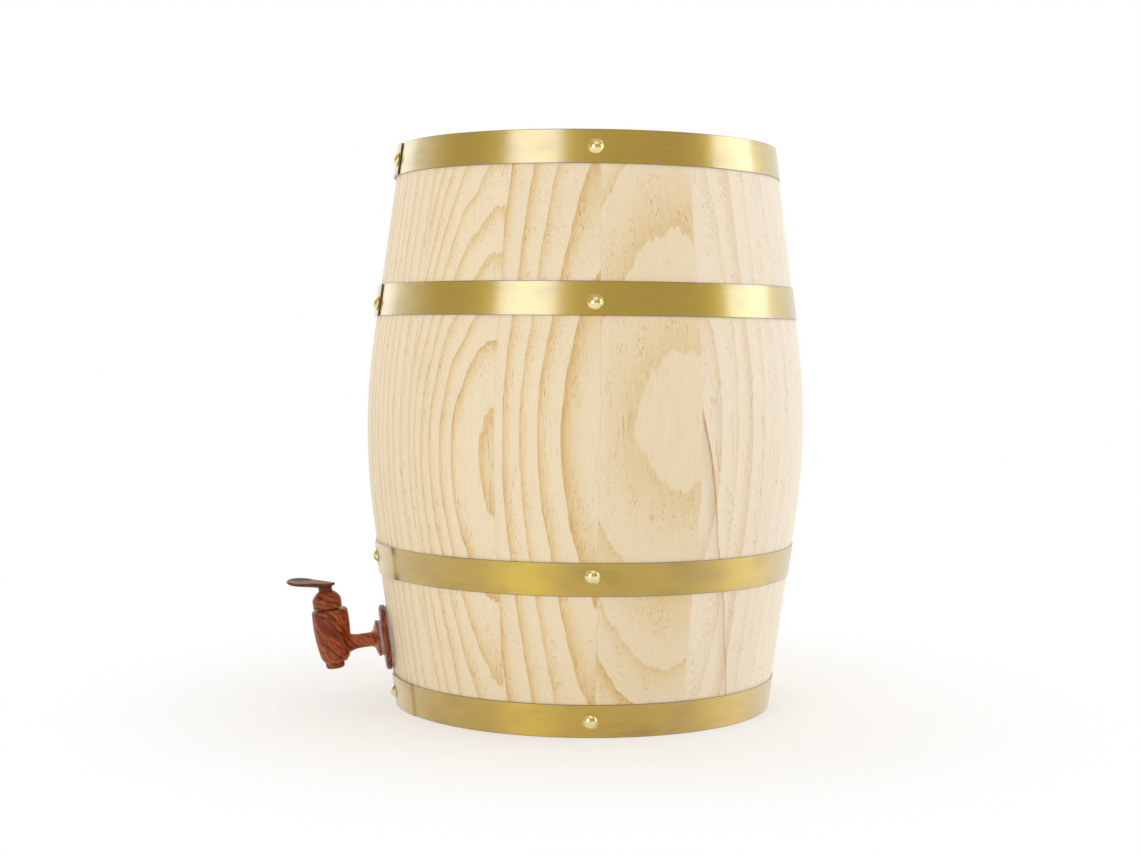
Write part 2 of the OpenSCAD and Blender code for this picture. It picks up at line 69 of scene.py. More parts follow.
def node_points(name):
    """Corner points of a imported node, as an array of rows."""
    vertices = frame["nodes"][name].data.vertices
    points = np.zeros(3 * len(vertices), np.float32)
    vertices.foreach_get("co", points)
    return points.reshape(-1, 3).astype(float)


def numbered(prefix):
    """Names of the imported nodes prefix_1, prefix_2 and so on, in order."""
    start = prefix + "_"
    names = [n for n in frame["nodes"] if n.startswith(start) and n[len(start):].isdigit()]
    return sorted(names, key=lambda n: int(n[len(start):]))


# The barrel's own shape, read from the frame
STAVES = numbered("stave")
HOOPS = numbered("hoop")
TOP_BOARDS = numbered("top_board")
BOTTOM_BOARDS = numbered("bottom_board")
TAP_JOINT = next(j for j in frame["joints"] if j["type"] == "hinge")
STAVE_POINTS = node_points(STAVES[0])
STAVE_RADII = np.hypot(STAVE_POINTS[:, 0], STAVE_POINTS[:, 1])
BARREL_H = float(STAVE_POINTS[:, 2].max())
HALF_H = BARREL_H / 2
BILGE_R = float(STAVE_RADII.max())
END_R = float(STAVE_RADII[STAVE_POINTS[:, 2] < MM / 100].max())
# The tap stands square to the wall's cone, so its axis leans as the cone does
CONE = math.atan2(-TAP_JOINT["axis"][0], TAP_JOINT["axis"][2])
ARC_R = (HALF_H * math.tan(CONE) - (BILGE_R - END_R)) / (1 / math.cos(CONE) - 1)
ARC_HALF = ARC_R * math.sin(CONE)
STAVE_ANGLE = FULL_TURN / len(STAVES)
HEAD_LOW = (float(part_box(BOTTOM_BOARDS[0])[0].z), float(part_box(TOP_BOARDS[0])[0].z))
HEAD_T = float(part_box(TOP_BOARDS[0])[1].z) - HEAD_LOW[1]
# Turn of the joint at which the first stave starts
FIRST_JOINT = math.radians(187)


def wall_radius(z):
    """Outside radius of the staves: an arc over the bilge that runs on in straight cones."""
    up = np.abs(np.asarray(z, float) - HALF_H)
    arc = BILGE_R - ARC_R + np.sqrt(ARC_R ** 2 - np.minimum(up, ARC_HALF) ** 2)
    return np.where(up > ARC_HALF, END_R + (HALF_H - up) * math.tan(CONE), arc)


def wall_slope(z):
    """Angle by which the wall leans inwards at a height, positive above the bilge."""
    up = np.asarray(z, float) - HALF_H
    arc = np.arcsin(np.clip(up / ARC_R, -1, 1))
    return np.where(np.abs(up) > ARC_HALF, np.sign(up) * CONE, arc)


def halfway(values):
    """The number halfway between the lowest and the highest value."""
    return float(values.min() + values.max()) / 2


def nails_of(hoop):
    """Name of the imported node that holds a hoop's nails."""
    return hoop.replace("hoop", "hoop_nails")


def nail_places(node, head_h):
    """Turn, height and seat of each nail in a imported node, read from the points of its head; the lap nail,
    which is the nearest to the tap, comes first. A nail's seat is the distance from the wall to the
    underside of its head."""
    points = node_points(node)
    out = (np.hypot(points[:, 0], points[:, 1]) - wall_radius(points[:, 2])) * math.cos(CONE)
    points, out = points[out > 0], out[out > 0]
    start = math.pi - STAVE_ANGLE
    turn = (np.arctan2(points[:, 1], points[:, 0]) - start) % FULL_TURN + start
    order = np.argsort(turn)
    nails = np.split(order, np.flatnonzero(np.diff(turn[order]) > STAVE_ANGLE / 2) + 1)
    return [(halfway(turn[n]), halfway(points[n, 2]), float(out[n].max()) - head_h) for n in nails]


# Sizes and colours that a user would change

def length(name, description, default_mm, low_mm=0.0, high_mm=100.0):
    """A length property, given in millimetres."""
    return bpy.props.FloatProperty(
        name=name, description=description, default=default_mm * MM, min=low_mm * MM, max=high_mm * MM,
        precision=5, unit="LENGTH")


def share(name, description, default, high=1.0):
    """A plain number property from 0 upwards."""
    return bpy.props.FloatProperty(name=name, description=description, default=default, min=0, max=high)


def angle(name, description, degrees):
    """An angle property, given in degrees."""
    return bpy.props.FloatProperty(
        name=name, description=description, default=math.radians(degrees), unit="ROTATION")


def linear(red, green, blue):
    """Linear colour of the usual display values from 0 to 255, by the sRGB curve."""
    values = np.array([red, green, blue]) / 255
    low, high = values / 12.92, ((values + 0.055) / 1.055) ** 2.4
    return tuple(float(v) for v in np.where(values <= 0.04045, low, high))


def colour(name, description, red, green, blue):
    """A colour property, given as display values from 0 to 255."""
    return bpy.props.FloatVectorProperty(
        name=name, description=description, subtype="COLOR", size=3, min=0, max=1,
        default=linear(red, green, blue))


class BarrelWood(bpy.types.PropertyGroup):
    """Sizes and colours of the pine."""
    stave_t: length("Stave thickness", "Thickness of the staves", 13)
    joint_gap: length("Joint gap", "Gap between two staves", 0.03)
    joint_ease: length("Joint easing", "Rounding along the outer edges of a stave", 0.08)
    chime_bevel_h: length("Chime bevel height", "Height of the bevel inside the stave ends", 8)
    chime_bevel_w: length("Chime bevel width", "Width of the bevel inside the stave ends", 5)
    groove_depth: length("Groove depth", "Depth of the groove that holds a head", 4)
    tongue_t: length("Tongue", "Thickness of a head's edge in the groove", 6)
    early: colour("Early wood", "Pale wood grown in spring", 240, 228, 203)
    middle: colour("Middle wood", "Wood between spring and summer", 231, 210, 166)
    late: colour("Late wood", "Honey-coloured wood grown in summer", 214, 176, 106)
    # On the staves turned towards the right lamp, this palest colour partly paints their light
    pale: colour("Bleached wood", "Pinkish white of the palest boards", 246, 240, 230)
    fleck: colour("Resin fleck", "Short brown resin streaks", 190, 140, 96)
    resin: colour("Resin line", "Dark resin along the edge of a ring", 180, 122, 4)


class BarrelBrass(bpy.types.PropertyGroup):
    """Sizes and colours of the hoops and nails."""
    hoop_t: length("Strip thickness", "Thickness of the brass strip", 0.7)
    seat_gap: length("Seat gap", "Gap between a strip and the wall", 0.05)
    lap_len: length("Lap", "Length over which a strip laps itself", 37)
    lap_end: length("Lap end", "Distance from the lap nail to the strip's outer end", 5)
    lap_gap: length("Lap gap", "Gap between the layers of a lap", 0.3)
    joggle: length("Joggle", "Length over which the strip steps out to its lap", 3.5)
    start_gap: length("Start gap", "Distance from the foot of the lap to the strip's covered end", 2)
    edge_round: length("Edge rounding", "Rounding of the strip's edges", 0.2)
    # The dark rim that fades beside each edge is painted shade
    rim_w: length("Rim", "Width of the face beside each rounded edge, where the dark rim fades", 0.3)
    burn_w: length("Burn", "Reach of a burn mark", 5)
    wave: length("Waviness", "Height of the strip's slight waves", 0.07)
    head_d: length("Nail head", "Diameter of the domed nail heads", 8.4)
    head_h: length("Nail dome", "Height of the domed nail heads", 2.7)
    shank_d: length("Nail shank", "Diameter of the nail shanks", 1.8)
    shank_len: length("Nail length", "Length of the nail shanks", 10)
    strip: colour("Strip brass", "Brushed brass of the upper hoops", 196, 168, 44)
    satin: colour("Satin brass", "Duller brass of the lower hoops", 203, 170, 34)
    # This colour also paints the shade along each strip's edges
    burn: colour("Burnt brass", "Brown marks where a strip was heated to bend it", 112, 84, 42)
    nail: colour("Nail brass", "Polished brass of the nails", 238, 225, 170)


class BarrelTap(bpy.types.PropertyGroup):
    """Colours of the tap and its seals."""
    light_wood: colour("Light wood", "Lightest wood of the tap", 178, 94, 46)
    red_wood: colour("Red wood", "Main wood of the tap", 124, 50, 20)
    dark_wood: colour("Dark grain", "Dark bands of the tap", 38, 8, 3)
    gasket: colour("Gasket", "Gasket on the wall", 174, 170, 172)
    washer: colour("Washers", "Washers of the tap", 172, 158, 168)
    seal: colour("Seal ring", "Black rubber of the key's seal ring", 30, 30, 32)
    nylon: colour("Key and nut", "Moulded key and nut", 74, 42, 28)


class BarrelStage(bpy.types.PropertyGroup):
    """Camera and light."""
    distance: length("Camera distance", "From the barrel's axis to the camera", 1108.1, 100, 5000)
    height: length("Camera height", "Height of the camera above the table", 216.2, 0, 2000)
    turn: angle("Camera turn", "Turn of the camera round the barrel, from -Y towards the tap", 9.4)
    yaw: angle("Camera yaw", "How far the camera looks to the left", 0.468)
    pitch: angle("Camera pitch", "How far the camera looks down", 2.693)
    roll: angle("Camera roll", "Turn of the camera about its own axis", 0.54)
    focal_px: share("Focal length", "Focal length in pixels of a picture 1140 wide", 1844.5, 10000)
    picture_w: share("Picture width", "Width of the picture in pixels", 1140, 10000)
    key_power: share("Key lamp", "Power of the lamp left of the camera", 8.6, 500)
    right_power: share("Right lamp", "Power of the lamp at the right", 6.6, 500)
    left_power: share("Left lamp", "Power of the lamp at the left", 1.6, 500)
    top_power: share("Top lamp", "Power of the lamp above", 4, 500)
    back_level: share("Backdrop", "Brightness of the surroundings behind the barrel", 1.0, 5)
    lamp: colour("Lamp colour", "Cool white of the lamps", 228, 237, 255)
    room: colour("Room colour", "Warm light of the room behind the camera", 255, 230, 176)
    front_level: share("Room", "Brightness of the surroundings behind the camera", 0.56, 5)


GROUPS = {
    "barrel_wood": BarrelWood,
    "barrel_brass": BarrelBrass,
    "barrel_tap": BarrelTap,
    "barrel_stage": BarrelStage,
}


# Meshes from arrays

# Angle between two faces from which their edge stays sharp
SHARP_ANGLE = math.radians(40)
# Points over a quarter round
CORNER_POINTS = 5


def grid_faces(rows, columns, wrap_rows=False, wrap_columns=False):
    """Corner numbers of the squares of a grid of points, row by row, as an array of four columns."""
    r = np.arange(rows if wrap_rows else rows - 1)[:, None]
    c = np.arange(columns if wrap_columns else columns - 1)[None, :]
    r2, c2 = (r + 1) % rows, (c + 1) % columns
    corners = [r * columns + c, r * columns + c2, r2 * columns + c2, r2 * columns + c]
    return np.stack(np.broadcast_arrays(*corners), -1).reshape(-1, 4)


def polygon_mesh(name, points, faces):
    """A smooth mesh with sharp edges kept; faces is a list of arrays, each of faces with equal corners."""
    mesh = bpy.data.meshes.new(name)
    sizes = np.concatenate([np.full(len(f), f.shape[1]) for f in faces])
    starts = np.concatenate([[0], np.cumsum(sizes)[:-1]])
    corners = np.concatenate([f.ravel() for f in faces])
    mesh.vertices.add(len(points))
    mesh.vertices.foreach_set("co", np.ascontiguousarray(points, np.float32).ravel())
    mesh.loops.add(len(corners))
    mesh.loops.foreach_set("vertex_index", corners.astype(np.int32))
    mesh.polygons.add(len(sizes))
    mesh.polygons.foreach_set("loop_start", starts.astype(np.int32))
    mesh.update(calc_edges=True)
    if mesh.validate():
        raise RuntimeError(f"{name}: the faces don't make a valid mesh")
    mesh.shade_smooth()
    mesh.set_sharp_from_angle(angle=SHARP_ANGLE)
    return mesh


def set_vectors(mesh, name, values):
    """Stores a vector for each point of a mesh under a name that materials can read."""
    layer = mesh.attributes.new(name, "FLOAT_VECTOR", "POINT")
    layer.data.foreach_set("vector", np.ascontiguousarray(values, np.float32).ravel())


def set_uv(mesh, name, places):
    """Stores a place on the surface for each point, as the mesh's UV map."""
    layer = mesh.uv_layers.new(name=name)
    corners = np.zeros(len(mesh.loops), np.int32)
    mesh.loops.foreach_get("vertex_index", corners)
    layer.data.foreach_set("uv", places[corners].astype(np.float32).ravel())


def add_piece(name, mesh, material, body, replaced):
    """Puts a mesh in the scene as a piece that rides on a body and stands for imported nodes."""
    mesh.materials.append(material)
    piece = bpy.data.objects.new(name, mesh)
    bpy.context.scene.collection.objects.link(piece)
    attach(piece, body)
    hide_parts(*replaced)


def finish_node(node, material):
    """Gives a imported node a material."""
    mesh = frame["nodes"][node].data
    mesh.materials.clear()
    mesh.materials.append(material)


# Materials from nodes

def rgba(values):
    """A colour with full opacity."""
    return (*values, 1.0)


class Graph:
    """Adds nodes to a node tree; its methods return the sockets that carry their results."""

    def __init__(self, tree):
        self.tree = tree

    def node(self, kind, inputs=(), **settings):
        """A node with its settings made and its inputs filled, by number or by name."""
        made = self.tree.nodes.new("ShaderNode" + kind)
        for name, value in settings.items():
            setattr(made, name, value)
        pairs = inputs.items() if isinstance(inputs, dict) else enumerate(inputs)
        for key, value in pairs:
            self.put(made.inputs[key], value)
        return made

    def put(self, socket, value):
        """Links a socket to another one or sets its value; None leaves it as it is."""
        if isinstance(value, bpy.types.NodeSocket):
            self.tree.links.new(value, socket)
        elif value is not None:
            socket.default_value = value

    def math(self, operation, *values, clamp=False):
        """A calculation with numbers."""
        return self.node("Math", values, operation=operation, use_clamp=clamp).outputs[0]

    def vector(self, operation, *values):
        """A calculation with vectors."""
        made = self.node("VectorMath", values, operation=operation)
        return made.outputs["Value" if operation == "LENGTH" else "Vector"]

    def scaled(self, vector, factor):
        """A vector or colour times a number."""
        return self.node("VectorMath", {0: vector, "Scale": factor}, operation="SCALE").outputs["Vector"]

    def split(self, vector):
        """The three numbers of a vector."""
        return self.node("SeparateXYZ", (vector,)).outputs

    def ramp(self, value, low, high, to_low=0.0, to_high=1.0):
        """A smooth step of value from low to high."""
        numbers = (value, low, high, to_low, to_high)
        return self.node("MapRange", numbers, interpolation_type="SMOOTHSTEP").outputs[0]

    def between(self, part, low, high):
        """The number that lies a part of the way from low to high."""
        return self.math("MULTIPLY_ADD", part, high - low, low)

    def noise(self, place, scale=1.0, detail=2.0, roughness=0.5):
        """Soft noise from 0 to 1."""
        inputs = {"Vector": place, "Scale": scale, "Detail": detail, "Roughness": roughness}
        return self.node("TexNoise", inputs).outputs["Fac"]

    def chances(self, number):
        """Three random numbers from 0 to 1, the same ones wherever the number is the same."""
        made = self.node("TexWhiteNoise", {"W": number}, noise_dimensions="1D")
        return self.node("SeparateColor", (made.outputs["Color"],)).outputs

    def mix(self, factor, first, second):
        """A colour between two colours."""
        made = self.node("Mix", {0: factor, 6: first, 7: second}, data_type="RGBA", blend_type="MIX")
        return made.outputs[2]

    def shades(self, value, first, between, at, last):
        """A colour that runs from first at 0, over the one between at a value, to last at 1."""
        made = self.node("ValToRGB", (value,))
        stops = made.color_ramp.elements
        stops[0].color, stops[1].color = rgba(first), rgba(last)
        stops.new(at).color = rgba(between)
        return made.outputs["Color"]


def new_group(name, inputs, outputs):
    """An empty shader group with sockets of the given kinds; returns it, its graph and its two ends."""
    group = bpy.data.node_groups.new(name, "ShaderNodeTree")
    for socket, kind in inputs.items():
        group.interface.new_socket(socket, in_out="INPUT", socket_type="NodeSocket" + kind)
    for socket, kind in outputs.items():
        group.interface.new_socket(socket, in_out="OUTPUT", socket_type="NodeSocket" + kind)
    start = group.nodes.new("NodeGroupInput").outputs
    end = group.nodes.new("NodeGroupOutput").inputs
    return group, Graph(group), start, end


def new_material(name):
    """A material with its Principled shader; returns it, its graph and the shader."""
    material = bpy.data.materials.new(name)
    material.use_nodes = True
    shader = material.node_tree.nodes["Principled BSDF"]
    return material, Graph(material.node_tree), shader


def set_inputs(shader, values):
    """Sets those inputs of a shader that are the same all over the piece."""
    for name, value in values.items():
        shader.inputs[name].default_value = value


def connect(graph, shader, tint, roughness, height, bump_strength, bump_mm):
    """Feeds a colour, a roughness and a bump to a shader."""
    graph.put(shader.inputs["Base Color"], tint)
    graph.put(shader.inputs["Roughness"], roughness)
    bump = graph.node("Bump", {"Strength": bump_strength, "Distance": bump_mm * MM, "Height": height})
    graph.put(shader.inputs["Normal"], bump.outputs[0])


def turned_place(graph, degrees, shift_mm):
    """Object coordinates in millimetres, turned about the three axes and shifted."""
    place = graph.node("Mapping", {"Vector": graph.node("TexCoord").outputs["Object"]})
    place.inputs["Scale"].default_value = (1 / MM,) * 3
    place.inputs["Rotation"].default_value = [math.radians(d) for d in degrees]
    place.inputs["Location"].default_value = shift_mm
    return place.outputs[0]


def once(make):
    """Keeps what make returned, so that each group and material is built a single time."""
    kept = []

    def get():
        if not kept:
            kept.append(make())
        return kept[0]
    return get


# Pine

# What gives each board its own place in the noise, times the phase of its rings
BOARD_SHIFT_MM = (311.0, 173.0, 947.0)
YEARS_SHIFT = 91.0
RING_SHIFT = 57.3
# Noise that bends the rings: size across and along the fibres, and amount
RING_BENDS_MM = ((40, 150, 2.4), (14, 80, 2.6), (3, 40, 0.8))
# Runs of wide and narrow rings: distance over which they change, and amount
YEARS_SPAN_MM = 14.0
YEARS_SWING_MM = 6.0
# How steeply spring wood turns into summer wood, from the gentlest year to the steepest
GROWTH_POWERS = (2.2, 5.2)
# Share of a ring at which its summer wood breaks off
RING_BREAK = 0.96
# Darkness of the summer wood, from the palest year to the darkest
LATE_SHARES = (0.45, 1.05)
# Darkness that shows the middle colour
MIDDLE_AT = 0.4
# Resin line: how far it bends, width of the line, of the band beside it and of its sharp edge
RESIN_BEND_MM = 6.0
RESIN_LINE_MM = 2.6
RESIN_BAND_MM = 10.0
RESIN_EDGE_MM = 0.4
# Resin line: strength of the band, and strength of the line where it has paled
RESIN_BAND_SHARE = 0.34
RESIN_PALE_SHARE = 0.65
# Resin line: heights from a stave's middle between which it pales downwards and ends upwards
RESIN_PALE_MM = (-60.0, -20.0)
RESIN_END_MM = (4.0, 30.0)
# Heads: place of the pith across a board and below it, lean of the pith, ring width and most bleaching
HEAD_PITH_SIDE_MM = (-30.0, 30.0)
HEAD_PITH_DEPTH_MM = (25.0, 65.0)
HEAD_LEAN = 0.03
HEAD_RING_MM = 7.5
HEAD_BLEACH = 0.25
# Bung and dowels: shift of the pattern, and ring width, phase and bleaching
TURNED_SHIFT_MM = (22.0, 330.0, 0.0)
TURNED_BOARD = (4.2, 0.31, 0.0)
# How dark the summer wood gets where a board has no value of its own
PLAIN_CONTRAST = 0.9


def resin_line(g, grain, resin, fibres):
    """Strength of a resin line. Across a board it rises to the line's sharp edge, over a faint band and
    then steeply; along the board it ends upwards and pales downwards."""
    across, slant, strength = g.split(resin)
    side, _, along = g.split(grain)
    beside = g.math("SUBTRACT", g.math("MULTIPLY_ADD", slant, along, side), across)
    beside = g.math("MULTIPLY_ADD", fibres(14, 80), RESIN_BEND_MM, beside)
    band = g.ramp(beside, -RESIN_BAND_MM, 0.0, 0.0, RESIN_BAND_SHARE)
    line = g.math("MAXIMUM", g.ramp(beside, -RESIN_LINE_MM, 0.0), band)
    line = g.math("MULTIPLY", line, g.ramp(beside, 0.0, RESIN_EDGE_MM, 1.0, 0.0))
    line = g.math("MULTIPLY", line, g.ramp(along, *RESIN_PALE_MM, RESIN_PALE_SHARE, 1.0))
    line = g.math("MULTIPLY", line, g.ramp(along, *RESIN_END_MM, 1.0, 0.0))
    line = g.math("MULTIPLY", line, g.math("MULTIPLY_ADD", fibres(0.5, 30), 1.2, strength, clamp=True))
    return g.math("MULTIPLY", line, strength)


@once
def pine_group():
    """Growth rings of sawn pine. Grain is the place in the log in millimetres, its Z along the fibres and
    its origin on the pith; Board holds the ring width, the phase of the rings and how far a board is
    bleached, which on the staves turned towards the right lamp is partly painted light; Contrast is how
    dark the summer wood gets; Resin holds the place of a resin line across the board at its middle, its
    slant and its strength.
    A ring's number is the distance from the pith, bent by noise, over the ring width; within a ring the
    wood darkens slowly from spring to summer and then breaks off sharply."""
    look = bpy.context.scene.barrel_wood
    group, g, start, end = new_group(
        "Growth rings", {"Grain": "Vector", "Board": "Vector", "Contrast": "Float", "Resin": "Vector"},
        {"Color": "Color", "Height": "Float", "Roughness": "Float"})
    width, phase, bleach_and_painted_light = g.split(start["Board"])
    place = g.vector("ADD", start["Grain"], g.scaled(BOARD_SHIFT_MM, phase))

    def fibres(across_mm, along_mm, detail=2.0):
        """Noise about 0, drawn out along the fibres."""
        drawn = g.vector("MULTIPLY", place, (1 / across_mm, 1 / across_mm, 1 / along_mm))
        return g.math("SUBTRACT", g.noise(drawn, detail=detail), 0.5)

    radius = g.vector("LENGTH", g.vector("MULTIPLY", start["Grain"], (1, 1, 0)))
    for across_mm, along_mm, amount_mm in RING_BENDS_MM:
        radius = g.math("MULTIPLY_ADD", fibres(across_mm, along_mm), amount_mm, radius)
    years = g.node("CombineXYZ", (
        g.math("DIVIDE", radius, YEARS_SPAN_MM), g.math("MULTIPLY", phase, YEARS_SHIFT)))
    swing = g.math("SUBTRACT", g.noise(years.outputs[0], detail=0.0), 0.5)
    radius = g.math("MULTIPLY_ADD", swing, YEARS_SWING_MM, radius)
    ring = g.math("ADD", g.math("DIVIDE", radius, width), phase)
    season = g.math("FRACT", ring)
    luck = g.chances(g.math("ADD", g.math("FLOOR", ring), g.math("MULTIPLY", phase, RING_SHIFT)))
    growth = g.math("POWER", season, g.between(luck[0], *GROWTH_POWERS))
    late = g.math("MULTIPLY", growth, g.ramp(season, RING_BREAK, 1.0, 1.0, 0.0))
    late = g.math("MULTIPLY", late, g.between(luck[1], *LATE_SHARES))
    late = g.math("MULTIPLY", late, start["Contrast"])
    late = g.math("MULTIPLY", late, g.math("MULTIPLY_ADD", fibres(0.7, 45), 1.6, 1.0))
    late = g.math("MULTIPLY_ADD", fibres(0.9, 30), 0.12, late, clamp=True)

    shades = g.shades(late, look.early, look.middle, MIDDLE_AT, look.late)
    cloud = g.math("MULTIPLY_ADD", fibres(60, 200), 0.08, 1.0)
    streak = g.math("MULTIPLY_ADD", fibres(0.4, 24, 3.0), 0.17, cloud)
    # Bleaching mixes in the pale colour; on the staves turned towards the right lamp this is partly painted
    # light
    shaded = g.scaled(g.mix(bleach_and_painted_light, shades, rgba(look.pale)), streak)
    flecks = g.math("MULTIPLY", g.ramp(fibres(0.34, 13), 0.08, 0.17), g.ramp(fibres(6, 24), -0.08, 0.1))
    flecks = g.math("MULTIPLY", flecks, g.ramp(season, 0.15, 0.75, 0.25, 0.8))
    flecked = g.mix(flecks, shaded, rgba(look.fleck))
    line = resin_line(g, start["Grain"], start["Resin"], fibres)
    g.put(end["Color"], g.mix(line, flecked, rgba(look.resin)))
    g.put(end["Height"], g.math("MULTIPLY_ADD", late, 0.5, fibres(0.5, 20)))
    g.put(end["Roughness"], g.math("MULTIPLY_ADD", late, -0.08, 0.56))
    return group


def finish_pine(graph, shader, grain, board, contrast=PLAIN_CONTRAST, resin=None):
    """Connects the growth rings to a shader."""
    inputs = {"Grain": grain, "Board": board, "Contrast": contrast, "Resin": resin}
    rings = graph.node("Group", node_tree=pine_group())
    for name, value in inputs.items():
        graph.put(rings.inputs[name], value)
    made = rings.outputs
    connect(
        graph, shader, made["Color"], made["Roughness"], made["Height"], bump_strength=0.12, bump_mm=0.2)
    set_inputs(shader, {"Specular IOR Level": 0.35})


@once
def stave_pine():
    """Pine of the staves, which carry their place in the log with them."""
    material, graph, shader = new_material("stave_pine")
    names = ("grain", "board", "contrast", "resin")
    grain, board, contrast, resin = (graph.node("Attribute", attribute_name=n).outputs for n in names)
    finish_pine(graph, shader, grain["Vector"], board["Vector"], contrast["Fac"], resin["Vector"])
    return material


@once
def head_pine():
    """Pine of the heads: each board lies along Y and is cut from another place in the log."""
    material, graph, shader = new_material("head_pine")
    low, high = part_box(TOP_BOARDS[0])
    board_w_mm = float(high.x - low.x) / MM
    x, y, z = graph.split(graph.scaled(graph.node("TexCoord").outputs["Object"], 1 / MM))
    number = graph.math("FLOOR", graph.math("ADD", graph.math("DIVIDE", x, board_w_mm), 0.5))
    head = graph.math("SIGN", graph.math("SUBTRACT", z, HALF_H / MM))
    luck = graph.chances(graph.math("ADD", number, head))
    across = graph.math("SUBTRACT", x, graph.math("MULTIPLY", number, board_w_mm))
    side = graph.math("ADD", across, graph.between(luck[0], *HEAD_PITH_SIDE_MM))
    depth = graph.between(luck[1], *HEAD_PITH_DEPTH_MM)
    depth = graph.math("ADD", depth, graph.math("MULTIPLY", y, HEAD_LEAN))
    grain = graph.node("CombineXYZ", (side, depth, y))
    board = graph.node("CombineXYZ", (HEAD_RING_MM, luck[2], graph.math("MULTIPLY", luck[1], HEAD_BLEACH)))
    finish_pine(graph, shader, grain.outputs[0], board.outputs[0])
    return material


@once
def turned_pine():
    """Pine of the bung and dowels, with straight rings."""
    material, graph, shader = new_material("turned_pine")
    finish_pine(graph, shader, turned_place(graph, (90, 0, 0), TURNED_SHIFT_MM), TURNED_BOARD)
    return material


# Brass

# Brightness of stained brass and of smeared nails, as shares of the clean metal's
STAIN_SHADE = 0.78
SMEAR_SHADE = 0.8
# Noise scales of a nail's dents and smears, per metre
NAIL_DENT_SCALE = 700.0
NAIL_SMEAR_SCALE = 240.0


@once
def brushed_group():
    """Fine scratches along a strip and soft stains. Place is in metres, X along the scratches."""
    group, g, start, end = new_group(
        "Brushed metal", {"Place": "Vector"}, {"Scratch": "Float", "Stain": "Float"})

    def drawn(along_mm, across_mm, detail):
        """Noise drawn out along the strip."""
        along, across = 1 / (along_mm * MM), 1 / (across_mm * MM)
        return g.noise(g.vector("MULTIPLY", start["Place"], (along, across, across)), detail=detail)

    fine = drawn(30, 0.35, 3.0)
    broad = drawn(120, 1.6, 2.0)
    g.put(end["Scratch"], g.math("MULTIPLY_ADD", broad, 0.5, g.math("MULTIPLY", fine, 0.5)))
    g.put(end["Stain"], g.ramp(drawn(30, 12, 4.0), 0.45, 0.75))
    return group


def brass(name, tint, roughness, anisotropy, coat_roughness, coat_ior, dust, scratch_depth, stain):
    """Lacquered brass whose scratches run along the UV map's U, stained, and burnt where its mesh says; the
    mesh also paints shade as a dark rim along the strip's edges.
    """
    material, graph, shader = new_material(name)
    brushed = graph.node("Group", node_tree=brushed_group())
    graph.put(brushed.inputs["Place"], graph.node("UVMap", uv_map="strip").outputs["UV"])
    scratch, patch = brushed.outputs["Scratch"], brushed.outputs["Stain"]
    stained = tuple(STAIN_SHADE * c for c in tint)
    worn = graph.mix(graph.math("MULTIPLY", patch, stain), rgba(tint), rgba(stained))
    # Burn marks, and painted shade along the strip's edges, pull the colour towards the burnt brass
    burn_and_shade_mask = graph.node("Attribute", attribute_name="burn").outputs["Fac"]
    burn_and_shade_mask = graph.ramp(graph.math("MULTIPLY", burn_and_shade_mask, graph.math("ADD", scratch, 0.5)), 0.15, 0.8)
    worn = graph.mix(burn_and_shade_mask, worn, rgba(bpy.context.scene.barrel_brass.burn))
    lined = graph.scaled(worn, graph.ramp(scratch, 0.3, 0.7, 0.93, 1.0))
    rough = graph.math("MULTIPLY_ADD", patch, 0.1, roughness)
    connect(graph, shader, lined, rough, scratch, bump_strength=scratch_depth, bump_mm=0.02)
    tangent = graph.node("Tangent", direction_type="UV_MAP", uv_map="strip")
    graph.put(shader.inputs["Tangent"], tangent.outputs[0])
    set_inputs(shader, {
        "Metallic": 1.0, "Coat Weight": 1.0, "Coat Roughness": coat_roughness, "Coat IOR": coat_ior,
        "Sheen Weight": dust, "Sheen Roughness": 0.5,
        "Anisotropic": anisotropy, "Anisotropic Rotation": 0.25})
    return material


@once
def bright_strip():
    """Brass of the upper hoops, which mirror more."""
    return brass(
        "bright_strip", bpy.context.scene.barrel_brass.strip, roughness=0.45, anisotropy=0.5,
        coat_roughness=0.2, coat_ior=2.5, dust=0.0, scratch_depth=0.3, stain=0.3)


@once
def satin_strip():
    """Brass of the lower hoops, brushed duller and a little dusty."""
    return brass(
        "satin_strip", bpy.context.scene.barrel_brass.satin, roughness=0.45, anisotropy=0.85,
        coat_roughness=0.6, coat_ior=1.9, dust=1.0, scratch_depth=0.4, stain=0.6)


@once
def nail_brass():
    """Polished brass of the nails, a little dull where it was hammered."""
    material, graph, shader = new_material("nail_brass")
    bright = bpy.context.scene.barrel_brass.nail
    dull = tuple(SMEAR_SHADE * c for c in bright)
    place = graph.node("TexCoord").outputs["Object"]
    dents = graph.noise(place, NAIL_DENT_SCALE, 2.0)
    smear = graph.noise(place, NAIL_SMEAR_SCALE, 3.0)
    tint = graph.mix(graph.ramp(smear, 0.45, 0.8), rgba(bright), rgba(dull))
    rough = graph.ramp(smear, 0.3, 0.8, 0.1, 0.26)
    connect(graph, shader, tint, rough, dents, bump_strength=0.25, bump_mm=0.1)
    set_inputs(shader, {"Metallic": 1.0})
    return material


# Wood, rubber and nylon of the tap

# The wood of the tap's pieces: slant and turn of the fibres in degrees, shift in millimetres and tone
TAP_WOODS = {
    "tap_body": (40, 0, (3.0, 0.0, 1.0), 1.0),
    "tap_bonnet": (14, 10, (40.0, 7.0, 4.0), 0.85),
    "tap_lever": (-4, 0, (90.0, 2.0, 19.0), 0.45),
    "wall_plate": (82, 0, (10.0, 30.0, 9.0), 0.8),
}
# Figure of the wood: size and reach of its swirls, width of its bands and their slope
SWIRL_MM = 24
SWIRL_REACH_MM = 11.0
BAND_MM = 3.2
BAND_SLOPE = 0.45
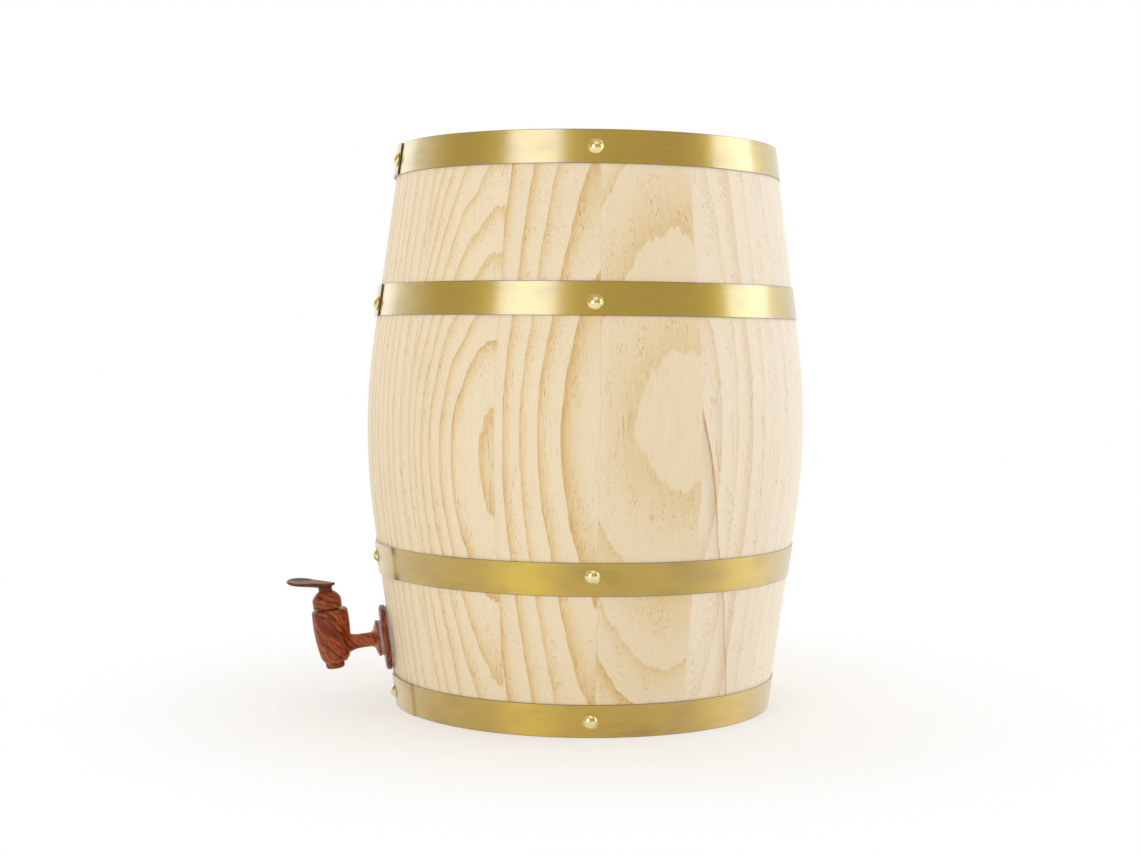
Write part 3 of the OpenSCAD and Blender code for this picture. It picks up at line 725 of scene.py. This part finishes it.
# Noise that bends the bands, as size along and across the fibres and amount
BAND_BENDS_MM = ((22, 5, 3.0), (12, 1.5, 0.9))
# Noise that darkens the wood, as size along and across the fibres in millimetres and strength
FIGURE_NOISE = ((34, 6, 0.8), (34, 2.2, 0.95), (26, 0.8, 1.05), (14, 0.35, 0.7))
# Darkness between the bands, of the darkest band, and where the red wood's colour lies
PLAIN_DARK = 0.16
BAND_DARK = 0.75
RED_AT = 0.35
# Noise scale of the dust on moulded pieces, per metre
DUST_SCALE = 180.0


@once
def figured_group():
    """Figured red-brown wood. Place is in millimetres, X along the fibres. Bands of uneven darkness lie
    across the fibres, bent by slow noise; each fades in and ends sharply, and fine dark pores lie along
    the fibres."""
    look = bpy.context.scene.barrel_tap
    group, g, start, end = new_group(
        "Figured wood", {"Place": "Vector"}, {"Color": "Color", "Height": "Float", "Roughness": "Float"})
    noise = g.node("TexNoise", {"Vector": start["Place"], "Scale": 1 / SWIRL_MM, "Detail": 1.0})
    swirl = g.vector("SUBTRACT", noise.outputs["Color"], (0.5, 0.5, 0.5))
    bend = g.vector("MULTIPLY", swirl, (0.0, SWIRL_REACH_MM, SWIRL_REACH_MM))
    place = g.vector("ADD", start["Place"], bend)

    def fibres(along_mm, across_mm):
        """Noise about 0, drawn out along the fibres."""
        drawn = g.vector("MULTIPLY", place, (1 / along_mm, 1 / across_mm, 1 / across_mm))
        return g.math("SUBTRACT", g.noise(drawn), 0.5)

    _, y, z = g.split(place)
    across = g.math("MULTIPLY_ADD", y, BAND_SLOPE, z)
    for along_mm, across_mm, amount_mm in BAND_BENDS_MM:
        across = g.math("MULTIPLY_ADD", fibres(along_mm, across_mm), amount_mm, across)
    band = g.math("DIVIDE", across, BAND_MM)
    part = g.math("FRACT", band)
    luck = g.chances(g.math("FLOOR", band))
    lines = g.math("MULTIPLY", g.math("POWER", part, 2.2), g.ramp(part, 0.9, 1.0, 1.0, 0.0))
    dark = g.math("MULTIPLY_ADD", lines, g.math("MULTIPLY", luck[1], BAND_DARK), PLAIN_DARK)
    for layer in FIGURE_NOISE:
        along_mm, across_mm, amount = layer
        is_last = layer == FIGURE_NOISE[-1]
        dark = g.math("MULTIPLY_ADD", fibres(along_mm, across_mm), amount, dark, clamp=is_last)
    g.put(end["Color"], g.shades(dark, look.light_wood, look.red_wood, RED_AT, look.dark_wood))
    g.put(end["Height"], g.math("SUBTRACT", 1.0, dark))
    g.put(end["Roughness"], g.math("MULTIPLY_ADD", dark, 0.1, 0.28))
    return group


def tap_wood(name, slant, turn, shift_mm, tone):
    """Glossy tap wood, darkened by tone, whose fibres run down by slant towards the wall, turned about the
    upright."""
    material, graph, shader = new_material(name)
    wood = graph.node("Group", node_tree=figured_group())
    graph.put(wood.inputs["Place"], turned_place(graph, (0, -slant, turn), shift_mm))
    tint = graph.scaled(wood.outputs["Color"], tone)
    connect(
        graph, shader, tint, wood.outputs["Roughness"], wood.outputs["Height"],
        bump_strength=0.25, bump_mm=0.1)
    set_inputs(shader, {"Specular IOR Level": 0.3})
    return material


def moulded(name, tint, roughness, grain_mm):
    """A moulded rubber or plastic with fine unevenness and a little dust in its colour."""
    material, graph, shader = new_material(name)
    place = graph.node("TexCoord").outputs["Object"]
    skin = graph.noise(place, 1 / (grain_mm * MM), 3.0)
    dust = graph.noise(place, DUST_SCALE, 3.0)
    dusty = tuple(min(1.0, 1.25 * c + 0.02) for c in tint)
    mixed = graph.mix(graph.ramp(dust, 0.4, 0.75), rgba(tint), rgba(dusty))
    rough = graph.ramp(dust, 0.3, 0.7, roughness, roughness + 0.15)
    connect(graph, shader, mixed, rough, skin, bump_strength=0.2, bump_mm=0.05)
    return material


@once
def gasket_rubber():
    """Pale grey rubber of the gasket on the wall."""
    return moulded("gasket_rubber", bpy.context.scene.barrel_tap.gasket, roughness=0.55, grain_mm=0.6)


@once
def washer_rubber():
    """Grey rubber of the washers."""
    return moulded("washer_rubber", bpy.context.scene.barrel_tap.washer, roughness=0.4, grain_mm=0.6)


@once
def black_rubber():
    """Black rubber of the key's seal ring."""
    return moulded("black_rubber", bpy.context.scene.barrel_tap.seal, roughness=0.45, grain_mm=0.5)


@once
def dark_nylon():
    """Brown nylon of the key and the nut."""
    return moulded("dark_nylon", bpy.context.scene.barrel_tap.nylon, roughness=0.4, grain_mm=0.4)


# Staves and heads

# How each stave was sawn, from the one beside the tap round by -Y: the pith's place across the stave and
# in front of its bilge in millimetres, its lean, the ring width in millimetres, the phase of the rings,
# their contrast and how far the board is bleached. On the fifth and sixth rows, the staves turned towards
# the right lamp, the bleaching is partly painted light
STAVE_BOARDS = (
    (72, 14, 0.02, 7.2, 0.10, 0.8, 0.1),
    (58, 120, -0.04, 4.4, 0.20, 0.95, 0.0),
    (64, 66, 0.0, 8.5, 0.88, 1.12, 0.05),
    (-85, -900, 0.02, 5.6, 0.85, 0.8, 0.0),
    (-31, 6, 0.0, 11.6, 0.55, 1.4, 0.6),
    (-78, 20, 0.01, 9.0, 0.30, 1.0, 0.8),
    (-60, 40, -0.02, 8.0, 0.70, 0.9, 0.4),
    (18, -60, 0.03, 6.5, 0.20, 0.9, 0.1),
    (-34, 45, 0.01, 9.5, 0.90, 1.1, 0.2),
    (55, 30, -0.03, 8.8, 0.35, 1.0, 0.0),
    (4, 80, 0.02, 7.8, 0.60, 0.9, 0.15),
    (-48, -70, 0.04, 7.4, 0.05, 1.0, 0.3),
    (28, 52, -0.02, 9.2, 0.50, 1.1, 0.05),
    (62, -8, 0.01, 7.0, 0.15, 0.9, 0.2),
)
# Resin lines by the stave's row above, from 0: place across it in millimetres, slant and strength
RESIN_LINES = {4: (-25.3, 0.22, 0.85)}
NO_RESIN = (0.0, 0.0, 0.0)
# Points up a stave's outside, from its bevel to its groove, from there to its middle, and across it
OUTSIDE_POINTS = 97
CHIME_POINTS = 3
INSIDE_POINTS = 24
ACROSS_POINTS = 15


def stave_profile(look):
    """Outline of a stave in radius and height, round from the foot of its outside: up the wall, over the
    end, down the bevel, the upper groove, the inside, the lower groove and the lower bevel. Returns it
    with the number of its points that lie on the outside, which come first."""
    thickness = look.stave_t / math.cos(CONE)
    groove_middle = HEAD_LOW[1] + HEAD_T / 2
    groove_z = groove_middle + np.array([0.5, -0.5]) * look.tongue_t
    groove_r = np.full(2, wall_radius(HEAD_LOW[0]) - thickness + look.groove_depth)
    chime_z = np.linspace(BARREL_H - look.chime_bevel_h, groove_z[0], CHIME_POINTS)
    inside_z = np.linspace(groove_z[1], HALF_H, INSIDE_POINTS)
    end_r = wall_radius(BARREL_H) - thickness + look.chime_bevel_w
    radii = [[end_r], wall_radius(chime_z) - thickness, groove_r, wall_radius(inside_z) - thickness]
    heights = [[BARREL_H], chime_z, groove_z, inside_z]
    upper = np.stack([np.concatenate(radii), np.concatenate(heights)], -1)
    lower = np.stack([upper[-2::-1, 0], BARREL_H - upper[-2::-1, 1]], -1)
    outside_z = np.linspace(0, BARREL_H, OUTSIDE_POINTS)
    outside = np.stack([wall_radius(outside_z), outside_z], -1)
    return np.concatenate([outside, upper, lower]), len(outside)


def stave_mesh(name, index, look):
    """A stave: its outline swept round the barrel's axis from one joint to the next. The outer edges are
    eased by a quarter round; both joint faces are closed."""
    outline, outside = stave_profile(look)
    gap = look.joint_gap / BILGE_R
    ease = look.joint_ease / BILGE_R
    quarter = np.linspace(0, math.pi / 2, CORNER_POINTS)
    edge = ease * (1 - np.cos(quarter))
    inner_turns = np.linspace(ease, STAVE_ANGLE - gap - ease, ACROSS_POINTS)[1:-1]
    turns = np.concatenate([edge, inner_turns, STAVE_ANGLE - gap - edge[::-1]])
    edge_drop = look.joint_ease * (1 - np.sin(quarter))
    drop = np.concatenate([edge_drop, np.zeros(len(inner_turns)), edge_drop[::-1]])
    around = FIRST_JOINT + index * STAVE_ANGLE + gap / 2 + turns
    is_outside = (np.arange(len(outline)) < outside)[:, None]
    radius = outline[:, :1] - np.where(is_outside, drop[None, :], 0)
    height = np.broadcast_to(outline[:, 1:], radius.shape)
    points = np.stack([radius * np.cos(around), radius * np.sin(around), height], -1).reshape(-1, 3)
    rows, columns = radius.shape
    first = np.arange(rows)[None, ::-1] * columns
    faces = [grid_faces(rows, columns, wrap_rows=True)[:, ::-1], first[:, ::-1], first + columns - 1]
    mesh = polygon_mesh(name, points, faces)
    set_grain(mesh, index, points)
    return mesh


def set_grain(mesh, index, points):
    """Stores each point's place in the log, counted from the pith, and how its board was sawn."""
    board = STAVE_BOARDS[index % len(STAVE_BOARDS)]
    pith_side, pith_front, lean, ring_w, phase, contrast, bleach_and_painted_light = board
    middle = FIRST_JOINT + (index + 0.5) * STAVE_ANGLE
    side = points @ np.array([-math.sin(middle), math.cos(middle), 0]) / MM - pith_side
    out = (points @ np.array([math.cos(middle), math.sin(middle), 0]) - BILGE_R) / MM - pith_front
    up = (points[:, 2] - HALF_H) / MM
    resin_side, slant, strength = RESIN_LINES.get(index, NO_RESIN)
    set_vectors(mesh, "grain", np.stack([side, out + lean * up, up], -1))
    # The board's bleaching, partly painted light on the staves turned towards the right lamp
    set_vectors(mesh, "board", np.broadcast_to([ring_w, phase, bleach_and_painted_light], points.shape))
    set_vectors(mesh, "contrast", np.full(points.shape, contrast))
    set_vectors(mesh, "resin", np.broadcast_to([resin_side - pith_side, slant, strength], points.shape))


class BARREL_OT_staves(bpy.types.Operator):
    """Make the staves"""
    bl_idname = "barrel.staves"
    bl_label = "Staves"

    def execute(self, context):
        for index, node in enumerate(STAVES):
            mesh = stave_mesh(node, index, context.scene.barrel_wood)
            add_piece("pine_" + node, mesh, stave_pine(), "barrel", [node])
        return {"FINISHED"}


class BARREL_OT_heads(bpy.types.Operator):
    """Finish the boards of both heads and their dowels"""
    bl_idname = "barrel.heads"
    bl_label = "Heads"

    def execute(self, context):
        for node in TOP_BOARDS + BOTTOM_BOARDS:
            finish_node(node, head_pine())
        for node in ("top_dowels", "bottom_dowels"):
            finish_node(node, turned_pine())
        return {"FINISHED"}


# Hoops and nails

# Which way the outer end of each strip points round the barrel, from the top hoop down
HOOP_TURNS = (1, 1, -1, -1)
# How strongly each strip was burnt where it steps out, from the top hoop down
HOOP_BURNS = (0.0, 0.0, 0.7, 0.3)
# How dark the painted shade along a strip's edges is, and its reach in edge roundings
RIM_PAINTED_SHADE = 0.75
RIM_REACH = 1.5
# How many of the upper hoops are bright
BRIGHT_HOOPS = 2
# Waves of a strip in one round, and how far they shift from hoop to hoop
HOOP_WAVES = (7, 11, 17, 26)
WAVE_SHIFT = 1.7
# Points across a strip's face, and along it once round, over the joggle and along the lap
FACE_POINTS = 11
ROUND_POINTS = 361
JOGGLE_POINTS = 9
LAP_POINTS = 33
# Rounded rim of a nail's head: distance in from its edge and height
NAIL_RIM_MM = ((0.35, 0.0), (0.05, 0.15), (0.0, 0.4))
# Length of a nail's point, in shank diameters
POINT_SHARE = 2
# Points over a nail's dome, and sides of a nail
DOME_POINTS = 15
NAIL_SIDES = 40


def strip_section(low, high, look):
    """Section of a strip as pairs of height and distance from the wall: up along the face, round the upper
    edge, down the back and round the lower edge."""
    r = look.edge_round
    corner = np.linspace(0, math.pi / 2, CORNER_POINTS)
    face = np.linspace(low + r + look.rim_w, high - r - look.rim_w, FACE_POINTS)
    outer = np.stack([face, np.full(len(face), look.hoop_t)], -1)
    out = look.hoop_t - r + r * np.cos(corner)
    upper = np.stack([high - r + r * np.sin(corner), out], -1)
    lower = np.stack([low + r - r * np.sin(corner), out], -1)
    inner = np.array([[high, 0], [low, 0]])
    return np.concatenate([outer, upper, inner, lower[::-1]])


def hoop_mesh(name, index, look):
    """A hoop: its section carried once round the wall, then out over its own start along the lap. The
    distance from the wall grows by a smooth step at the joggle; slight waves bend the strip outwards."""
    low, high = (float(corner.z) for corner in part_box(name))
    section = strip_section(low, high, look)
    radius = float(wall_radius((low + high) / 2))
    lap, joggle, lap_end = look.lap_len / radius, look.joggle / radius, look.lap_end / radius
    start = look.start_gap / radius
    turns = np.concatenate([
        np.linspace(start, FULL_TURN - joggle, ROUND_POINTS)[:-1],
        np.linspace(FULL_TURN - joggle, FULL_TURN, JOGGLE_POINTS),
        np.linspace(FULL_TURN, FULL_TURN + lap, LAP_POINTS)[1:]])
    rise = np.clip((turns - FULL_TURN) / joggle + 1, 0, 1)
    lift = (look.hoop_t + look.lap_gap) * rise * rise * (3 - 2 * rise) + look.seat_gap
    wave = sum(np.sin(turns * n + index * WAVE_SHIFT + n) for n in HOOP_WAVES) / len(HOOP_WAVES)
    lift = lift + look.wave * 0.5 * (1 + wave)
    lap_nail = nail_places(nails_of(name), look.head_h)[0][0]
    around = lap_nail + HOOP_TURNS[index] * (lap_end - lap + turns)
    height = np.broadcast_to(section[:, 0], (len(turns), len(section)))
    reach = wall_radius(height) + (section[:, 1] + lift[:, None]) / math.cos(CONE)
    x, y = reach * np.cos(around)[:, None], reach * np.sin(around)[:, None]
    points = np.stack([x, y, height], -1).reshape(-1, 3)
    rows, columns = reach.shape
    ends = np.arange(columns)[None, :]
    faces = [grid_faces(rows, columns, wrap_columns=True), ends[:, ::-1], ends + (rows - 1) * columns]
    if HOOP_TURNS[index] < 0:
        faces = [f[:, ::-1] for f in faces]
    mesh = polygon_mesh(name, points, faces)
    set_uv(mesh, "strip", np.stack([np.repeat(turns * radius, columns), np.tile(section[:, 0], rows)], -1))
    from_step = (turns - FULL_TURN + joggle / 2) * radius
    from_edge = np.minimum(section[:, 0] - low, high - section[:, 0])
    set_burn_and_shade(mesh, HOOP_BURNS[index], from_step, from_edge, look)
    return mesh


def set_burn_and_shade(mesh, strength, from_step, from_edge, look):
    """Stores how burnt each point of a strip is: a spot that falls off like a bell curve from the joggle
    and the edges, and a dark rim of painted shade along both edges."""
    burn = strength * np.exp(-(from_step[:, None] / look.burn_w) ** 2 - (from_edge / look.burn_w) ** 2)
    # A dark rim of painted shade along both edges
    burn = np.maximum(burn, np.where(from_edge < RIM_REACH * look.edge_round, RIM_PAINTED_SHADE, 0.0))
    set_vectors(mesh, "burn", np.repeat(burn.ravel()[:, None], 3, axis=1))


def nail_profile(look):
    """Outline of a nail in radius and height: from the point up the shank, under the head, round its rim
    and over the dome, which is part of a ball."""
    dome_r = (look.head_d ** 2 / 4 + look.head_h ** 2) / (2 * look.head_h)
    fall = np.linspace(math.acos((dome_r - look.head_h) / dome_r), 0, DOME_POINTS)[1:]
    dome = np.stack([dome_r * np.sin(fall), look.head_h - dome_r * (1 - np.cos(fall))], -1)
    shank = look.shank_d / 2
    stem = [[0, -look.shank_len], [shank, POINT_SHARE * look.shank_d - look.shank_len], [shank, 0]]
    inwards, up = MM * np.array(NAIL_RIM_MM).T
    rim = np.stack([look.head_d / 2 - inwards, up], -1)
    return np.concatenate([stem, rim, dome])


def wall_frame(turn, z, lift):
    """Matrix that stands things on the wall, their Z straight out of it, at a distance from it."""
    lean = float(wall_slope(z))
    place = Matrix.Rotation(turn, 4, "Z") @ Matrix.Translation((float(wall_radius(z)), 0, z))
    return place @ Matrix.Rotation(math.pi / 2 - lean, 4, "Y") @ Matrix.Translation((0, 0, lift))


def turned_mesh(name, profile, sides, matrices):
    """Copies of a profile turned about Z, one for each matrix. The profile starts and ends on the axis,
    where fans of triangles close it."""
    turn = np.arange(sides) * FULL_TURN / sides
    radius = profile[1:-1, :1]
    rows = len(radius)
    height = np.broadcast_to(profile[1:-1, 1:], (rows, sides))
    rings = np.stack([radius * np.cos(turn), radius * np.sin(turn), height], -1).reshape(-1, 3)
    local = np.concatenate([rings, [[0, 0, profile[0, 1]], [0, 0, profile[-1, 1]]]])
    here = np.arange(sides)
    there = (here + 1) % sides
    last = (rows - 1) * sides
    low_pole = np.full(sides, rows * sides)
    high_pole = low_pole + 1
    fans = np.concatenate([
        np.stack([low_pole, there, here], -1), np.stack([high_pole, last + here, last + there], -1)])
    squares = grid_faces(rows, sides, wrap_columns=True)
    solid = np.array([np.array(m) for m in matrices])
    moved = np.einsum("kij,nj->kni", solid[:, :3, :3], local) + solid[:, None, :3, 3]
    jump = (np.arange(len(matrices)) * len(local))[:, None, None]
    faces = [(squares[None] + jump).reshape(-1, 4), (fans[None] + jump).reshape(-1, 3)]
    return polygon_mesh(name, moved.reshape(-1, 3), faces)


class BARREL_OT_hoops(bpy.types.Operator):
    """Make the brass hoops"""
    bl_idname = "barrel.hoops"
    bl_label = "Hoops"

    def execute(self, context):
        for index, node in enumerate(HOOPS):
            mesh = hoop_mesh(node, index, context.scene.barrel_brass)
            material = bright_strip() if index < BRIGHT_HOOPS else satin_strip()
            add_piece("brass_" + node, mesh, material, "barrel", [node])
        return {"FINISHED"}


class BARREL_OT_nails(bpy.types.Operator):
    """Make the domed nails of the hoops"""
    bl_idname = "barrel.nails"
    bl_label = "Nails"

    def execute(self, context):
        look = context.scene.barrel_brass
        profile = nail_profile(look)
        for node in map(nails_of, HOOPS):
            places = [wall_frame(*place) for place in nail_places(node, look.head_h)]
            mesh = turned_mesh(node, profile, NAIL_SIDES, places)
            add_piece("brass_" + node, mesh, nail_brass(), "barrel", [node])
        return {"FINISHED"}


class BARREL_OT_bung(bpy.types.Operator):
    """Finish the bung"""
    bl_idname = "barrel.bung"
    bl_label = "Bung"

    def execute(self, context):
        finish_node("bung", turned_pine())
        return {"FINISHED"}


class BARREL_OT_tap(bpy.types.Operator):
    """Finish the tap and its seals"""
    bl_idname = "barrel.tap"
    bl_label = "Tap"

    def execute(self, context):
        for node, wood in TAP_WOODS.items():
            finish_node(node, tap_wood(node + "_wood", *wood))
        finish_node("wall_gasket", gasket_rubber())
        for node in ("flange_washer", "inner_washer"):
            finish_node(node, washer_rubber())
        for node in ("tap_key", "tap_nut"):
            finish_node(node, dark_nylon())
        finish_node("key_seal_ring", black_rubber())
        return {"FINISHED"}


# Stage

# Width of the camera's sensor
SENSOR_W_MM = 36
# Lamps: turn from the camera to the right in degrees, distance from the axis, height, and width and
# height of the lamp's face
LAMPS = {
    "key": (-31, 1.7, 0.57, (0.95, 1.1)),
    "right": (95, 1.4, 0.56, (0.84, 1.1)),
    "left": (-134, 1.4, 0.56, (0.54, 1.1)),
    "top": (15, 0.9, 1.7, (1.6, 1.2)),
}
# Where the backdrop turns into the room, as the share of a direction that points to the camera's side
ROOM_EDGE = (-0.55, 0.1)
WHITE = (1, 1, 1, 1)
# Floor: half its width, how far it lies below the barrel and how pale it is
FLOOR_HALF = 12.0
FLOOR_DROP = 0.2 * MM
FLOOR_PALENESS = 0.96
# Floor: distances from the axis between which it turns white, and how white it is at the nearer one
FLOOR_FADE = (0.1, 0.34)
FLOOR_NEAR_WHITE = 0.5


def add_camera(look):
    """A camera at the picture's view: out from the barrel, turned, pitched down and rolled."""
    data = bpy.data.cameras.new("camera")
    data.sensor_fit = "HORIZONTAL"
    data.sensor_width = SENSOR_W_MM
    data.lens = look.focal_px / look.picture_w * SENSOR_W_MM
    camera = bpy.data.objects.new("camera", data)
    bpy.context.scene.collection.objects.link(camera)
    camera.matrix_world = (
        Matrix.Rotation(-look.turn, 4, "Z") @ Matrix.Translation((0, -look.distance, look.height))
        @ Matrix.Rotation(look.yaw, 4, "Z") @ Matrix.Rotation(math.pi / 2 - look.pitch, 4, "X")
        @ Matrix.Rotation(look.roll, 4, "Z"))
    bpy.context.scene.camera = camera


def add_lamp(name, look, power, turn_degrees, distance, height, size):
    """A soft rectangular lamp that faces the barrel; its turn is counted from the camera to the right."""
    data = bpy.data.lights.new(name, "AREA")
    data.shape = "RECTANGLE"
    data.size, data.size_y = size
    data.energy = power
    data.color = look.lamp
    lamp = bpy.data.objects.new(name, data)
    bpy.context.scene.collection.objects.link(lamp)
    turn = math.radians(turn_degrees) - look.turn - math.pi / 2
    lamp.location = (distance * math.cos(turn), distance * math.sin(turn), height)
    aim = Vector((0, 0, HALF_H)) - lamp.location
    lamp.rotation_euler = aim.to_track_quat("-Z", "Y").to_euler()


def seen_by(graph, *kinds):
    """1 for rays of the given kinds, 0 for others."""
    rays = graph.node("LightPath").outputs
    seen = rays[f"Is {kinds[0]} Ray"]
    for kind in kinds[1:]:
        seen = graph.math("MAXIMUM", seen, rays[f"Is {kind} Ray"])
    return seen


def add_world(look):
    """Surroundings: bright behind the barrel, dim behind the camera, and white where the camera looks."""
    world = bpy.data.worlds.new("studio")
    world.use_nodes = True
    bpy.context.scene.world = world
    graph = Graph(world.node_tree)
    back = world.node_tree.nodes["Background"]
    seen = seen_by(graph, "Camera", "Transmission")
    front = (-math.sin(look.turn), -math.cos(look.turn), 0.0)
    direction = graph.node("TexCoord").outputs["Generated"]
    facing = graph.node("VectorMath", (direction, front), operation="DOT_PRODUCT").outputs["Value"]
    level = graph.ramp(facing, *ROOM_EDGE, look.back_level, look.front_level)
    warmth = graph.math("MULTIPLY", graph.math("SUBTRACT", 1.0, seen), graph.ramp(facing, *ROOM_EDGE))
    graph.put(back.inputs["Color"], graph.mix(warmth, WHITE, rgba(look.room)))
    graph.put(back.inputs["Strength"], graph.math("MAXIMUM", seen, level))


def add_floor():
    """A wide pale floor that keeps the barrel's shadow and turns white away from it."""
    corners = FLOOR_HALF * np.array([[-1, -1], [1, -1], [1, 1], [-1, 1]])
    points = np.column_stack([corners, np.full(len(corners), -FLOOR_DROP)])
    mesh = polygon_mesh("floor", points, [np.array([[0, 1, 2, 3]])])
    material, graph, shader = new_material("pale_floor")
    set_inputs(shader, {
        "Base Color": rgba((FLOOR_PALENESS,) * 3), "Roughness": 0.9, "Specular IOR Level": 0.1})
    away = graph.vector("LENGTH", graph.node("TexCoord").outputs["Object"])
    seen = seen_by(graph, "Camera", "Transmission", "Glossy")
    white = graph.math("MULTIPLY", seen, graph.ramp(away, *FLOOR_FADE, FLOOR_NEAR_WHITE, 1.0))
    glow = graph.node("Emission", {"Color": WHITE, "Strength": 1.0})
    both = graph.node("MixShader", (white, shader.outputs[0], glow.outputs[0]))
    graph.put(material.node_tree.nodes["Material Output"].inputs["Surface"], both.outputs[0])
    mesh.materials.append(material)
    floor = bpy.data.objects.new("floor", mesh)
    bpy.context.scene.collection.objects.link(floor)


class BARREL_OT_stage(bpy.types.Operator):
    """Set up the camera, the light and the floor"""
    bl_idname = "barrel.stage"
    bl_label = "Stage"

    def execute(self, context):
        look = context.scene.barrel_stage
        add_camera(look)
        add_world(look)
        add_floor()
        for name, place in LAMPS.items():
            add_lamp(name, look, getattr(look, name + "_power"), *place)
        context.scene.view_settings.view_transform = "Standard"
        return {"FINISHED"}


OPERATORS = (
    BARREL_OT_stage, BARREL_OT_staves, BARREL_OT_heads, BARREL_OT_hoops, BARREL_OT_nails, BARREL_OT_bung,
    BARREL_OT_tap,
)


class BARREL_PT_panel(bpy.types.Panel):
    """Lists the steps and their sizes"""
    bl_label = "Wine Barrel"
    bl_idname = "BARREL_PT_panel"
    bl_space_type = "VIEW_3D"
    bl_region_type = "UI"
    bl_category = "Barrel"

    def draw(self, context):
        for operator in OPERATORS:
            self.layout.operator(operator.bl_idname)
        for name, group in GROUPS.items():
            box = self.layout.box()
            for prop in group.__annotations__:
                box.prop(getattr(context.scene, name), prop)


CLASSES = (*GROUPS.values(), *OPERATORS, BARREL_PT_panel)


def register():
    for made in CLASSES:
        bpy.utils.register_class(made)
    for name, group in GROUPS.items():
        setattr(bpy.types.Scene, name, bpy.props.PointerProperty(type=group))


def unregister():
    for name in GROUPS:
        delattr(bpy.types.Scene, name)
    for made in reversed(CLASSES):
        bpy.utils.unregister_class(made)


def main():
    register()
    bpy.ops.barrel.stage()
    bpy.ops.barrel.staves()
    bpy.ops.barrel.heads()
    bpy.ops.barrel.hoops()
    bpy.ops.barrel.nails()
    bpy.ops.barrel.bung()
    bpy.ops.barrel.tap()


if __name__ == "__main__":
    main()
